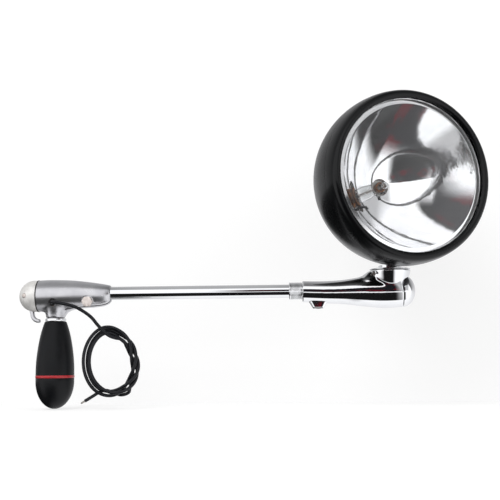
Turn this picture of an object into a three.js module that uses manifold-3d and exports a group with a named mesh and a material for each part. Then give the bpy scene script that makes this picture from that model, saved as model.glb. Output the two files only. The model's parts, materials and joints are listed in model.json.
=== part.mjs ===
// A post mount spotlight: a turned handle below the inner head steers a lamp above the outer head.
// The handle drives the lamp through two pairs of bevel gears and a hollow shaft inside a fixed tube.
// Millimetres, +Z up. The origin lies on the shaft axis at the middle of the visible tube.
// The shaft runs along X, the lamp faces -Y and the handle hangs along -Z.

import * as THREE from 'three';
import { mergeVertices } from 'three/addons/utils/BufferGeometryUtils.js';
import Module from 'manifold-3d';

const wasm = await Module();
wasm.setup();

// Fits shared by all pieces
const seatGap = 0.3;
const cutOverrun = 2;
const cutThrough = 40;
const weldDistance = 0.0002;

// Shaft tube, its bare reach to each side of the middle, and how far it runs into each head
const innerReach = 87.7;
const outerReach = 85;
const tubeDiameter = 12.7;
const tubeBore = 9.7;
const tubeInsideInnerHead = 33;
const tubeInsideOuterHead = 43;

// Drive tube inside the shaft tube, and its bushes
const driveDiameter = 6.4;
const driveBore = 4;
const bushLength = 14;

// Inner head: a tapered barrel with a neck for the handle and a pinch clamp for the tube
const handleSetback = 54.3;
const seamSetback = 16.5;
const headRadius = 15.4;
const headDrop = 2;
const neckRadius = 9.4;
const neckDrop = 23.6;
const neckFlare = 2.8;
const neckBushRadius = 7;
const webReach = 15;
const webThickness = 10;
const chamberRadius = 11.2;
const chamberDrop = 1;
const bulkhead = 8;
const slitWidth = 1.6;
const slitLength = 44;
const slitLean = THREE.MathUtils.degToRad(22);
const spigotLength = 5.5;
const spigotWall = 1.3;

// Clamp bolt across the slit
const boltSetback = 21.2;
const boltDrop = 8.4;
const boltDiameter = 3.4;
const boltHeadAcross = 9.2;
const boltHeadHeight = 3.2;
const nutHeight = 3.4;
const spotFaceDepth = 9.4;
const spotFaceRadius = 6;

// Domed cap of the inner head, its screws, switch and trigger
const domeRadius = 15.3;
const domeSkirt = 4;
const capScrewDiameter = 3;
const capScrewHead = 4.6;
const capScrewCrown = 3.2;
const capScrewHeadHeight = 1;
const capScrewLength = 3.4;
const capScrewBoreDepth = 5;
const capScrewAngle = THREE.MathUtils.degToRad(119);
const switchLength = 7;
const switchWidth = 11;
const switchHeight = 9.5;
const switchSetback = 30;
const pivotSetback = 25.2;
const pivotDrop = 10;
const pivotDiameter = 3;
const pivotPinLength = 19;
const triggerWidth = 5.5;
const triggerEyeRadius = 3.1;
const triggerHookRadius = 8.4;
const triggerHookWidth = 3.8;
const triggerHookSetback = 16.3;
const triggerHookDrop = 19.6;
const triggerHookTip = THREE.MathUtils.degToRad(285);
const triggerNibWidth = 1.5;
const triggerPocketReach = 6.6;

// Handle: ferrule, grip, ring and rounded end on one rod
const ferruleRadius = 10;
const ferruleHeight = 2.8;
const gripTopRadius = 10.4;
const gripRadius = 18.4;
const gripLength = 51.6;
const ringHeight = 2;
const ringProud = 0.25;
const endStraight = 3;
const endLength = 26.5;
const rodDiameter = 8;
const rodInEnd = 4.4;

// Bevel gears, all four alike
const gearTeeth = 14;
const gearPitchRadius = 8;
const gearFaceWidth = 3.6;
const gearAddendum = 1;
const gearDedendum = 1.35;
const gearBacklash = 0.36;
const gearPressureAngle = THREE.MathUtils.degToRad(20);
const gearConeAngle = THREE.MathUtils.degToRad(45);
const gearHubRadius = 6;
const gearHubReach = 11.5;

// Lock collar and outer head: a swelling barrel with a socket for the lamp post
const collarRadius = 8.3;
const collarLength = 12.4;
const collarChamfer = 0.6;
const postReach = 84.3;
const elbowRadius = 16.1;
const elbowDrop = 1.5;
const elbowSeamReach = 11.5;
const elbowCapReach = 11.8;
const elbowCapPlug = 6;
const elbowPlugWall = 2.2;
const elbowChamberRadius = 11.2;
const bossRadius = 19.6;
const bossHeight = 18.8;
const saddleDrop = 6;
const lugReach = 15.2;
const lugDrop = 17.1;
const lugLength = 10.5;
const lugWidth = 9;
const lugSpread = 9;
const lugCorner = 3;
const lugRootDrop = 9;
const lugRootWidth = 11.2;
const lugBevel = 1;
const setScrewDiameter = 4.2;
const setScrewLength = 7;
const bossScrewAngle = THREE.MathUtils.degToRad(212);
const bossScrewHeight = 14.9;
const bossScrewLength = 7.5;

// Lamp post: washer, bush and hollow stud with its seats and nut
const postBushRadius = 8.6;
const postBushWall = 2.2;
const washerThickness = 1;
const washerBand = 13;
const studRadius = 6.1;
const saddleRadius = 11;
const studThreadRadius = 4.9;
const studThreadEnd = 0.2;
const seatLand = 1.2;
const studNutAcross = 15;
const studNutHeight = 4;

// Lamp: positions along its axis are measured forward from the post axis
const lampTurn = THREE.MathUtils.degToRad(21);
const bowlClearance = 0.5;
const bowlRadius = 82.3;
const bowlDepth = 88;
const bowlCentre = 30;
const bowlWall = 1.8;
const bowlMouth = 38;
const bowlStep = 2;
const lipPlane = 45.3;
const lipDepth = 6.6;
const lipThickness = 1.3;
const reflectorThickness = 1.2;
const reflectorFlangeWidth = 0.8;
const mirrorInset = 1.4;
const mirrorBackRoom = 38.5;
const vertexHole = 8.6;
const gasketThickness = 1.2;
const gasketWidth = 3.2;
const lensInset = 5;
const lensThickness = 3.2;
const lensCrown = 2.6;
const lensBevel = 1.8;
const rimLipWidth = 2.8;
const rimLipThickness = 0.8;
const rimDepth = 17;
const clipCount = 3;
const clipThickness = 1.7;
const clipLength = 3;
const clipAngle = THREE.MathUtils.degToRad(9);

// Bulb and its holder behind the reflector
const holderRadius = 10.4;
const holderBore = 8.4;
const holderFlange = 13;
const holderDepth = 12.5;
const holderFloor = 5;
const bulbSeatDepth = 2.8;
const bulbBaseRadius = 4.5;
const bulbBaseLength = 6;
const bulbNeckRadius = 2.7;
const bulbRadius = 3.4;
const bulbLength = 26;

// Wires
const wireDiameter = 3.2;
const feedDiameter = 2.4;
const grommetRadius = 3.6;
const grommetLipRadius = 2.9;
const grommetFlange = 1.4;
const grommetDepth = 1.6;
const wireExitDrop = 8.7;
const feedBend = 5.5;
const bareDiameter = 1.9;
const bareLength = 4;

// Coil of spare wire: flattened loops that lie as a bundle and twist once round each other on the right
const coilReach = 56.95;
const coilForward = 8;
const coilDrop = 66;
const coilHalfWidth = 23.85;
const coilHalfHeight = 30.6;
const coilStartDegrees = 32;
const coilTurnDegrees = 1157;
const coilStrandRadius = 3.1;
const coilSpread = 2.9;
const coilSway = 1.9;
const coilSwayLoop = 0.6;
const coilPhase = THREE.MathUtils.degToRad(160);
const coilTwistFrom = -50;
const coilTwistTo = 140;
const coilPartsAt = 120;
const coilJoinsAt = 300;
const coilBlend = 45;
const coilMiddleLoop = 1.45;
const coilDentShare = 0.13;
const coilDentSharpness = 8;
const coilDentAngle = THREE.MathUtils.degToRad(45);

// Counts of facets
const fineSides = 36;
const roundSides = 24;
const smallSides = 16;
const wireSides = 8;
const coilSides = 6;
const coilStepsPerLoop = 24;
const bowlSteps = 9;
const roundingSteps = 6;
const domeSteps = 7;
const hookSteps = 8;
const lensSteps = 3;
const innerWireSteps = 12;
const leadSteps = 28;
const tailSteps = 12;
const mirrorSteps = 6;

// Places worked out from the sizes above
const tubeRadius = tubeDiameter / 2;
const boreRadius = tubeRadius + seatGap;
const driveRadius = driveDiameter / 2;
const gearBoreRadius = driveRadius + seatGap;
const wireRadius = wireDiameter / 2;
const feedRadius = feedDiameter / 2;
const headEndX = -innerReach;
const handleX = headEndX - handleSetback;
const seamX = handleX - seamSetback;
const pivotX = handleX - pivotSetback;
const switchX = handleX - switchSetback;
const collarX = outerReach + seatGap;
const elbowX = collarX + collarLength + seatGap;
const postX = elbowX + postReach;
const elbowSeamX = postX + elbowSeamReach;
const washerZ = bossHeight + seatGap;
const saddleZ = washerZ + washerThickness + seatGap;
const lampHeight = saddleZ + bowlClearance + bowlRadiusAt(bossRadius, 0);
const stepRadius = bowlRadiusAt(bowlMouth, 0) - bowlStep;
const lipRadius = stepRadius - lipDepth;
const lensRadius = stepRadius - lensInset;
const rimLipRadius = lensRadius - rimLipWidth;
const reflectorFlangeRadius = lensRadius + reflectorFlangeWidth;
const mirrorRadius = lipRadius - reflectorThickness - mirrorInset;
const mirrorVertex = bowlCentre - bowlDepth + mirrorBackRoom;
const mirrorDepth = lipPlane + reflectorThickness - mirrorVertex;
const mirrorFocus = mirrorRadius ** 2 / (4 * mirrorDepth);
const gasketPlane = lipPlane + seatGap + reflectorThickness + seatGap;
const lensBackPlane = gasketPlane + gasketThickness + seatGap;
const lensFrontPlane = lensBackPlane + lensThickness;
const rimLipPlane = lensFrontPlane + seatGap;
const seatHeight = lampHeight - bowlRadiusAt(-saddleRadius, bowlWall + seatGap) + seatLand;
const studTop = seatHeight + seatGap + studNutHeight + studThreadEnd;
const ferruleZ = -neckDrop - seatGap;
const gripZ = ferruleZ - ferruleHeight - seatGap;
const ringZ = gripZ - gripLength - seatGap;
const endZ = ringZ - ringHeight - seatGap;

// Finishes
const finish = {
  chrome: new THREE.MeshStandardMaterial({ color: '#d8dadd', roughness: 0.08, metalness: 1 }),
  castAlloy: new THREE.MeshStandardMaterial({ color: '#a9abae', roughness: 0.38, metalness: 0.9 }),
  mattAlloy: new THREE.MeshStandardMaterial({ color: '#c4c4c2', roughness: 0.6, metalness: 0.6 }),
  blackPaint: new THREE.MeshStandardMaterial({ color: '#0c0d0f', roughness: 0.22, metalness: 0.1 }),
  blackGrip: new THREE.MeshStandardMaterial({ color: '#15171a', roughness: 0.5, metalness: 0 }),
  redRing: new THREE.MeshStandardMaterial({ color: '#c4242a', roughness: 0.4, metalness: 0 }),
  steel: new THREE.MeshStandardMaterial({ color: '#8f9296', roughness: 0.35, metalness: 1 }),
  bronze: new THREE.MeshStandardMaterial({ color: '#9a7443', roughness: 0.4, metalness: 1 }),
  brass: new THREE.MeshStandardMaterial({ color: '#a87b3c', roughness: 0.3, metalness: 1 }),
  glass: new THREE.MeshStandardMaterial({ color: '#eef2f4', roughness: 0.02, metalness: 0 }),
  mirror: new THREE.MeshStandardMaterial({ color: '#e6e8ea', roughness: 0.03, metalness: 1 }),
  rubber: new THREE.MeshStandardMaterial({ color: '#121212', roughness: 0.8, metalness: 0 }),
  wire: new THREE.MeshStandardMaterial({ color: '#17181a', roughness: 0.45, metalness: 0 }),
  switchCase: new THREE.MeshStandardMaterial({ color: '#2b2724', roughness: 0.6, metalness: 0 }),
};

// Welds a closed geometry, drops its flattened faces, and turns it to face outwards.
function closedSolid(geometry) {
  const bare = geometry.clone();
  bare.deleteAttribute('normal');
  bare.deleteAttribute('uv');
  const welded = mergeVertices(bare, weldDistance);
  const position = welded.getAttribute('position');
  const source = welded.index.array;
  const corners = [];
  const a = new THREE.Vector3();
  const b = new THREE.Vector3();
  const c = new THREE.Vector3();
  let volume = 0;
  for (let i = 0; i < source.length; i += 3) {
    const [p, q, r] = [source[i], source[i + 1], source[i + 2]];
    if (p === q || q === r || r === p) continue;
    corners.push(p, q, r);
    a.fromBufferAttribute(position, p);
    b.fromBufferAttribute(position, q);
    c.fromBufferAttribute(position, r);
    volume += a.dot(b.cross(c));
  }
  if (volume < 0) corners.reverse();
  return new wasm.Manifold(new wasm.Mesh({
    numProp: 3,
    vertProperties: new Float32Array(position.array),
    triVerts: new Uint32Array(corners),
  }));
}

// A solid back as a three.js geometry.
function geometryOf(solid) {
  const mesh = solid.getMesh();
  const geometry = new THREE.BufferGeometry();
  geometry.setAttribute('position', new THREE.BufferAttribute(new Float32Array(mesh.vertProperties), 3));
  geometry.setIndex(new THREE.BufferAttribute(new Uint32Array(mesh.triVerts), 1));
  geometry.computeVertexNormals();
  return geometry;
}

// A named mesh with a material of its own.
function piece(name, solid, material) {
  const mesh = new THREE.Mesh(geometryOf(solid), material.clone());
  mesh.name = name;
  return mesh;
}

// A profile of [radius, position] pairs turned round an axis along +X, through the given height.
function turnedAlongX(profile, sides, z = 0) {
  const geometry = new THREE.LatheGeometry(profile.map((p) => new THREE.Vector2(...p)), sides);
  return closedSolid(geometry.rotateZ(-Math.PI / 2).translate(0, 0, z));
}

// The same round an upright axis through the given X.
function turnedAlongZ(profile, sides, x = 0) {
  const geometry = new THREE.LatheGeometry(profile.map((p) => new THREE.Vector2(...p)), sides);
  return closedSolid(geometry.rotateX(Math.PI / 2).translate(x, 0, 0));
}

// A copy of a solid, moved as the given step moves its geometry.
function placed(solid, move) {
  return closedSolid(move(geometryOf(solid)));
}

// The same round an axis along Y through the given X and Z.
function turnedAlongY(profile, sides, x, z) {
  const geometry = new THREE.LatheGeometry(profile.map((p) => new THREE.Vector2(...p)), sides);
  return closedSolid(geometry.translate(x, 0, z));
}

// The same round the lamp axis, whose positions count forward along -Y.
function turnedAlongLamp(profile, sides) {
  const geometry = new THREE.LatheGeometry(profile.map((p) => new THREE.Vector2(...p)), sides);
  return closedSolid(geometry.rotateX(Math.PI).translate(0, 0, lampHeight));
}

// Profile of a solid round bar, and of a sleeve.
const bar = (radius, from, to) => [[0, from], [radius, from], [radius, to], [0, to]];
const sleeve = (inner, outer, from, to) =>
  [[inner, from], [outer, from], [outer, to], [inner, to], [inner, from]];

// Angles that divide a quarter turn evenly, both ends included.
const quarterAngles = (steps) =>
  Array.from({ length: steps + 1 }, (_, i) => (i / steps) * (Math.PI / 2));

// A block between two corners.
function block(x0, x1, y0, y1, z0, z1) {
  const geometry = new THREE.BoxGeometry(x1 - x0, y1 - y0, z1 - z0);
  return closedSolid(geometry.translate((x0 + x1) / 2, (y0 + y1) / 2, (z0 + z1) / 2));
}

// A skin over rings of points, closed by a fan at each end or, as a loop, from the last ring to the first.
function lofted(rings, loop = false) {
  const count = rings[0].length;
  const middles = loop ? [] : [rings[0], rings[rings.length - 1]].map((ring) =>
    ring.reduce((sum, p) => sum.add(p), new THREE.Vector3()).divideScalar(count));
  const points = [...rings.flat(), ...middles];
  const first = points.length - 2;
  const last = points.length - 1;
  const end = (rings.length - 1) * count;
  const index = [];
  for (let i = 0; i < count; i += 1) {
    const next = (i + 1) % count;
    for (let ring = 0; ring < rings.length - (loop ? 0 : 1); ring += 1) {
      const low = ring * count;
      const high = ((ring + 1) % rings.length) * count;
      index.push(low + i, low + next, high + next, low + i, high + next, high + i);
    }
    if (!loop) index.push(first, next, i, last, end + i, end + next);
  }
  const geometry = new THREE.BufferGeometry().setFromPoints(points);
  geometry.setIndex(index);
  return closedSolid(geometry);
}

// An upright oval ring of points across X.
function ovalRing(x, halfWidth, halfHeight, middleZ, sides) {
  return Array.from({ length: sides }, (_, i) => {
    const angle = (i / sides) * 2 * Math.PI;
    return new THREE.Vector3(x, halfWidth * Math.cos(angle), middleZ + halfHeight * Math.sin(angle));
  });
}

// A flat outline in X and Z given a thickness along Y, centred on the plane of the arm.
function slab(shape, thickness) {
  const geometry = new THREE.ExtrudeGeometry(shape, {
    depth: thickness,
    bevelEnabled: false,
    curveSegments: hookSteps,
  });
  return closedSolid(geometry.translate(0, 0, -thickness / 2).rotateX(Math.PI / 2));
}

// A wire through hand-picked points: a many-sided section swept along a smooth curve.
function wireAlong(points, radius, steps) {
  const section = Array.from({ length: wireSides }, (_, i) => {
    const angle = (i / wireSides) * 2 * Math.PI;
    return new THREE.Vector2(radius * Math.cos(angle), radius * Math.sin(angle));
  });
  const path = new THREE.CatmullRomCurve3(points.map((p) => new THREE.Vector3(...p)));
  const geometry = new THREE.ExtrudeGeometry(new THREE.Shape(section), {
    steps,
    bevelEnabled: false,
    extrudePath: path,
  });
  return closedSolid(geometry);
}

// A tube with one ring of sides square to each point of a polyline, its frame carried along unturned.
function sweptTube(points, radius, sides) {
  const tangentAt = (i) => points[Math.min(i + 1, points.length - 1)].clone()
    .sub(points[Math.max(i - 1, 0)]).normalize();
  const side = new THREE.Vector3(0, 1, 0);
  const rings = points.map((point, i) => {
    const tangent = tangentAt(i);
    side.addScaledVector(tangent, -side.dot(tangent)).normalize();
    const other = tangent.clone().cross(side);
    return Array.from({ length: sides }, (_, k) => {
      const angle = (k / sides) * 2 * Math.PI;
      return point.clone()
        .addScaledVector(side, radius * Math.cos(angle))
        .addScaledVector(other, radius * Math.sin(angle));
    });
  });
  return lofted(rings);
}

// Half the angle that a tooth spans at a radius of the equivalent spur gear, as an involute gives it.
function toothHalfAngle(radius) {
  const pitchRadius = gearPitchRadius / Math.cos(gearConeAngle);
  const baseRadius = pitchRadius * Math.cos(gearPressureAngle);
  const involute = (angle) => Math.tan(angle) - angle;
  const pressure = Math.acos(Math.min(1, baseRadius / radius));
  const halfThickness = (Math.PI * gearPitchRadius) / (2 * gearTeeth) - gearBacklash / 4;
  const spread = halfThickness / pitchRadius + involute(gearPressureAngle) - involute(pressure);
  return spread / Math.cos(gearConeAngle);
}

// A bevel gear with its axis along Z, its cones' tip at the origin and its hub towards +Z.
function bevelGear(phase) {
  const equivalent = gearPitchRadius / Math.cos(gearConeAngle);
  const offsets = [-gearDedendum, 0, gearAddendum];
  const flank = offsets.map((offset) => ({ offset, half: toothHalfAngle(equivalent + offset) }));
  const corner = (tooth, { offset, half }, side) => {
    const angle = phase + (tooth / gearTeeth) * 2 * Math.PI + side * half;
    const radius = gearPitchRadius + offset * Math.cos(gearConeAngle);
    const height = gearPitchRadius / Math.tan(gearConeAngle) - offset * Math.sin(gearConeAngle);
    return new THREE.Vector3(radius * Math.cos(angle), radius * Math.sin(angle), height);
  };
  const rowOf = (point) => Array.from({ length: gearTeeth }, (_, tooth) => point(tooth)).flat();
  const outline = rowOf((tooth) => [
    ...flank.map((point) => corner(tooth, point, -1)),
    ...[...flank].reverse().map((point) => corner(tooth, point, 1)),
  ]);
  const gathered = (radius, height) => rowOf((tooth) => {
    const angle = phase + (tooth / gearTeeth) * 2 * Math.PI;
    const point = new THREE.Vector3(radius * Math.cos(angle), radius * Math.sin(angle), height);
    return Array.from({ length: 2 * flank.length }, () => point.clone());
  });
  const coneLength = gearPitchRadius / Math.sin(gearConeAngle);
  const shrink = (coneLength - gearFaceWidth) / coneLength;
  const inner = outline.map((point) => point.clone().multiplyScalar(shrink));
  const rings = [
    gathered(gearBoreRadius, gearPitchRadius * shrink),
    inner,
    outline,
    gathered(gearHubRadius, gearPitchRadius),
    gathered(gearHubRadius, gearHubReach),
    gathered(gearBoreRadius, gearHubReach),
  ];
  return lofted(rings, true);
}

// A bevel gear's mesh, turned and set at its tip.
function gearPiece(name, phase, turn, x) {
  const mesh = piece(name, bevelGear(phase), finish.steel);
  mesh.rotation.set(...turn);
  mesh.position.x = x;
  return mesh;
}

// The fixed tube, and the bushes that carry the drive tube inside it
function shaftPieces() {
  const from = headEndX - tubeInsideInnerHead;
  const to = collarX + tubeInsideOuterHead;
  const bushOuter = tubeBore / 2 - seatGap;
  const bush = (start) =>
    turnedAlongX(sleeve(gearBoreRadius, bushOuter, start, start + bushLength), smallSides);
  return [
    piece('shaft_tube', turnedAlongX(sleeve(tubeBore / 2, tubeRadius, from, to), roundSides), finish.chrome),
    piece('inner_shaft_bush', bush(from), finish.bronze),
    piece('outer_shaft_bush', bush(to - bushLength), finish.bronze),
  ];
}

// The hollow drive tube with a bevel gear at each end
function drivePieces() {
  const from = handleX + gearPitchRadius;
  const to = postX - gearPitchRadius;
  const halfTooth = Math.PI / gearTeeth;
  const tube = turnedAlongX(sleeve(driveBore / 2, driveRadius, from, to), smallSides);
  return [
    piece('drive_tube', tube, finish.steel),
    gearPiece('inner_drive_gear', halfTooth, [0, Math.PI / 2, 0], handleX),
    gearPiece('outer_drive_gear', halfTooth, [0, -Math.PI / 2, 0], postX),
  ];
}

// Sections of the inner head's barrel: shares of its length, of headRadius and of headDrop
const headBarrelShares = [
  [0, 0.994, 1],
  [0.14, 1, 0.85],
  [0.25, 0.987, 0.8],
  [0.47, 0.922, 0.6],
  [0.67, 0.828, 0.65],
  [0.76, 0.786, 0.75],
  [0.88, 0.714, 0.85],
  [0.93, 0.666, 0.8],
  [0.97, 0.6, 0.6],
  [1, 0.52, 0.25],
];

// Neck below the barrel: shares of neckFlare outwards and of neckDrop downwards
const neckShares = [
  [0, 1],
  [0, 0.89],
  [0.2, 0.78],
  [0.67, 0.65],
  [1, 0.5],
  [1, 0.2],
];

// The blend between the neck and the clamp: shares of webReach beyond the neck and of neckDrop downwards
const webShares = {
  foot: [0, 0.9],
  bend: [0.1, 0.685],
  end: [1, 0.607],
};

// The same blend as a solid, seen from the front
function neckWeb() {
  const placed = ([out, down]) => [handleX + neckRadius + out * webReach, -down * neckDrop];
  const foot = placed(webShares.foot);
  const end = placed(webShares.end);
  const shape = new THREE.Shape();
  shape.moveTo(handleX, 0);
  shape.lineTo(handleX, foot[1]);
  shape.lineTo(...foot);
  shape.quadraticCurveTo(...placed(webShares.bend), ...end);
  shape.lineTo(end[0], 0);
  shape.closePath();
  return slab(shape, webThickness);
}

// Places of the inner wire, measured from the handle's axis, and where it ends at the switch
const switchLeadPlaces = [
  [-3.2, -10, -7.4],
  [-8, -9.24, -4.35],
  [-16.5, -4.62, -0.87],
];
const switchLeadEndY = -3.4;

// Route of the wire from its exit to the switch
function switchLeadRoute() {
  const end = switchX + switchLength;
  return [
    [handleX, wireExitY() + grommetDepth + wireRadius, -wireExitDrop],
    ...switchLeadPlaces.map(([x, y, z]) => [handleX + x, y, z]),
    [end + wireDiameter, switchLeadEndY, 0],
    [end + seatGap, switchLeadEndY, 0],
  ];
}

// Everything that is cut out of the inner head's casting
function headCuts() {
  const tubeEnd = headEndX - tubeInsideInnerHead;
  const gearSpace = gearPitchRadius + gearAddendum + seatGap;
  const boltX = headEndX - boltSetback;
  const chamberEnd = tubeEnd - bulkhead;
  const halfSlit = slitWidth / 2;
  const slit = block(headEndX - slitLength, headEndX + cutOverrun, -halfSlit, halfSlit, -cutThrough, 0);
  const wireHole = (radius, to) =>
    turnedAlongY(bar(radius, -cutThrough, to), smallSides, handleX, -wireExitDrop);
  return [
    turnedAlongX(bar(boreRadius, tubeEnd - seatGap, headEndX + cutOverrun), roundSides),
    turnedAlongX(bar(driveRadius + 2 * seatGap, chamberEnd - cutOverrun, tubeEnd + cutOverrun), smallSides),
    turnedAlongX(bar(chamberRadius, seamX - spigotLength - cutOverrun, chamberEnd), roundSides, -chamberDrop),
    turnedAlongZ(bar(gearSpace, -gearHubReach - seatGap, 0), roundSides, handleX),
    turnedAlongZ(bar(neckBushRadius + seatGap, -neckDrop - cutOverrun, -gearHubReach), roundSides, handleX),
    placed(slit, (geometry) => geometry.rotateX(-slitLean)),
    turnedAlongY(bar(boltDiameter / 2 + seatGap, -cutThrough, cutThrough), smallSides, boltX, -boltDrop),
    turnedAlongY(bar(spotFaceRadius, -cutThrough, -spotFaceDepth), smallSides, boltX, -boltDrop),
    turnedAlongY(bar(spotFaceRadius, spotFaceDepth, cutThrough), smallSides, boltX, -boltDrop),
    wireHole(grommetRadius - seatGap, -gearPitchRadius),
    wireHole(grommetRadius + seatGap, wireExitY()),
    wireAlong(switchLeadRoute(), wireRadius + 2 * seatGap, innerWireSteps),
  ];
}

// Depth of the flat spot where the wire leaves the casting
const wireExitY = () => -Math.sqrt(headRadius ** 2 - (wireExitDrop - headDrop) ** 2);

// Sets a solid that lies along +X at the middle of the cap's dome, turned to one side's screw.
function placeCapScrew(solid, side) {
  return placed(solid, (geometry) =>
    geometry.rotateZ(side * capScrewAngle).translate(seamX - domeSkirt, 0, -headDrop));
}

// A hole in the cap's dome for the screw on one side
function capScrewBore(side) {
  const from = domeRadius - capScrewBoreDepth;
  const bore = bar(capScrewDiameter / 2 + seatGap, from, domeRadius + cutOverrun);
  return placeCapScrew(turnedAlongX(bore, smallSides), side);
}

// The inner head's casting, with the spigot that carries its cap
function innerHead() {
  const length = headEndX - seamX;
  const rings = headBarrelShares.map(([along, share, drop]) => {
    const radius = share * headRadius;
    return ovalRing(seamX + along * length, radius, radius, -drop * headDrop, roundSides);
  });
  const neck = neckShares.map(([out, down]) => [neckRadius + out * neckFlare, -down * neckDrop]);
  const foot = neck[0][1];
  const top = neck[neck.length - 1][1];
  const spigot = bar(chamberRadius + spigotWall, seamX - spigotLength, seamX + cutOverrun);
  let casting = lofted(rings)
    .add(turnedAlongZ([[0, foot], ...neck, [0, top]], roundSides, handleX))
    .add(neckWeb())
    .add(turnedAlongX(spigot, roundSides, -chamberDrop));
  for (const cut of headCuts()) casting = casting.subtract(cut);
  return casting;
}

// The clamp bolt with its hexagon head in front, and its nut behind
function clampPieces() {
  const x = headEndX - boltSetback;
  const nutFace = spotFaceDepth + seatGap;
  const headRound = boltHeadAcross / Math.sqrt(3);
  const shankEnd = nutFace + nutHeight + cutOverrun;
  const shank = turnedAlongY(bar(boltDiameter / 2, -nutFace, shankEnd), smallSides, x, -boltDrop);
  const flatUp = Math.PI / 6;
  const head = closedSolid(new THREE.CylinderGeometry(headRound, headRound, boltHeadHeight, 6)
    .rotateY(flatUp).translate(x, -nutFace - boltHeadHeight / 2, -boltDrop));
  const nutBlock = closedSolid(new THREE.CylinderGeometry(headRound, headRound, nutHeight, 6)
    .rotateY(flatUp).translate(x, nutFace + nutHeight / 2, -boltDrop));
  const nutBore = turnedAlongY(bar(boltDiameter / 2 + seatGap, 0, cutThrough), smallSides, x, -boltDrop);
  return [
    piece('clamp_bolt', shank.add(head), finish.steel),
    piece('clamp_nut', nutBlock.subtract(nutBore), finish.steel),
  ];
}

// The hole for the trigger's pin, through all that it crosses
const pivotBore = () =>
  turnedAlongY(bar(pivotDiameter / 2 + seatGap, -cutThrough, cutThrough), smallSides, pivotX, -pivotDrop);

// The domed cap, with a pocket for the switch and a slot for the trigger
function headCap() {
  const centreX = seamX - domeSkirt;
  const mouth = seamX - seatGap;
  const dome = [[0, mouth], [domeRadius, mouth]];
  for (const angle of quarterAngles(domeSteps)) {
    dome.push([domeRadius * Math.cos(angle), centreX - domeRadius * Math.sin(angle)]);
  }
  const spigotEnd = seamX - spigotLength;
  const socket = bar(chamberRadius + spigotWall + seatGap, spigotEnd - seatGap, seamX + cutOverrun);
  const halfSwitch = switchWidth / 2 + seatGap;
  const halfSlot = triggerWidth / 2 + seatGap;
  const switchPocket = block(
    switchX - seatGap, seamX, -halfSwitch, halfSwitch,
    -switchHeight / 2 - seatGap, switchHeight / 2 + seatGap,
  );
  const pocketLeft = pivotX - triggerPocketReach;
  const triggerPocket = block(pocketLeft, seamX, -halfSlot, halfSlot, -cutThrough, -switchHeight / 2);
  return turnedAlongX(dome, roundSides, -headDrop)
    .subtract(turnedAlongX(socket, roundSides, -chamberDrop))
    .subtract(switchPocket)
    .subtract(triggerPocket)
    .subtract(pivotBore())
    .subtract(capScrewBore(-1))
    .subtract(capScrewBore(1));
}

// A screw with a shallow round head, set from one side into the cap
function capScrew(side) {
  const seat = domeRadius + seatGap / 2;
  const profile = [
    [0, seat - capScrewLength],
    [capScrewDiameter / 2, seat - capScrewLength],
    [capScrewDiameter / 2, seat],
    [capScrewHead / 2, seat],
    [capScrewCrown / 2, seat + capScrewHeadHeight],
    [0, seat + capScrewHeadHeight],
  ];
  return placeCapScrew(turnedAlongX(profile, smallSides), side);
}

// The hooked trigger: an eye round its pin, a nib to the switch and a curved finger piece
function trigger() {
  const hookX = handleX - triggerHookSetback;
  const inner = triggerHookRadius - triggerHookWidth;
  const middle = triggerHookRadius - triggerHookWidth / 2;
  const tip = triggerHookTip;
  const hook = new THREE.Shape();
  hook.moveTo(pivotX - triggerHookWidth / 2, -pivotDrop);
  hook.absarc(hookX, -triggerHookDrop, triggerHookRadius, Math.PI, tip, false);
  hook.absarc(
    hookX + middle * Math.cos(tip), -triggerHookDrop + middle * Math.sin(tip),
    triggerHookWidth / 2, tip, tip + Math.PI, false,
  );
  hook.absarc(hookX, -triggerHookDrop, inner, tip, Math.PI, true);
  hook.lineTo(pivotX + triggerHookWidth / 2, -pivotDrop);
  hook.closePath();
  const half = triggerWidth / 2;
  const eye = turnedAlongY(bar(triggerEyeRadius, -half, half), smallSides, pivotX, -pivotDrop);
  const nibTop = -switchHeight / 2 - 2 * seatGap;
  const nibHalf = triggerNibWidth / 2;
  const nib = block(pivotX - nibHalf, pivotX + nibHalf, -half, half, -pivotDrop, nibTop);
  return slab(hook, triggerWidth).add(eye).add(nib).subtract(pivotBore());
}

// The cap with its screws, switch, trigger and pivot pin
function capPieces() {
  const pinHalf = pivotPinLength / 2;
  const body = block(
    switchX, switchX + switchLength, -switchWidth / 2, switchWidth / 2, -switchHeight / 2, switchHeight / 2,
  );
  const pin = turnedAlongY(bar(pivotDiameter / 2, -pinHalf, pinHalf), smallSides, pivotX, -pivotDrop);
  return [
    piece('inner_head_cap', headCap(), finish.mattAlloy),
    piece('cap_screw_front', capScrew(-1), finish.steel),
    piece('cap_screw_rear', capScrew(1), finish.steel),
    piece('switch_body', body, finish.switchCase),
    piece('trigger', trigger(), finish.castAlloy),
    piece('trigger_pin', pin, finish.steel),
  ];
}

// The bush that carries the handle in the neck
function handleBush() {
  const profile = sleeve(gearBoreRadius, neckBushRadius, -neckDrop + seatGap, -gearHubReach - seatGap);
  return piece('handle_bush', turnedAlongZ(profile, roundSides, handleX), finish.bronze);
}

// The grip's side: shares of the swell from gripTopRadius to gripRadius, and of gripLength
const gripShares = [
  [0, 0],
  [0.28, 0.13],
  [0.5, 0.26],
  [0.68, 0.4],
  [0.85, 0.58],
  [0.97, 0.78],
  [1, 1],
];

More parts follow.
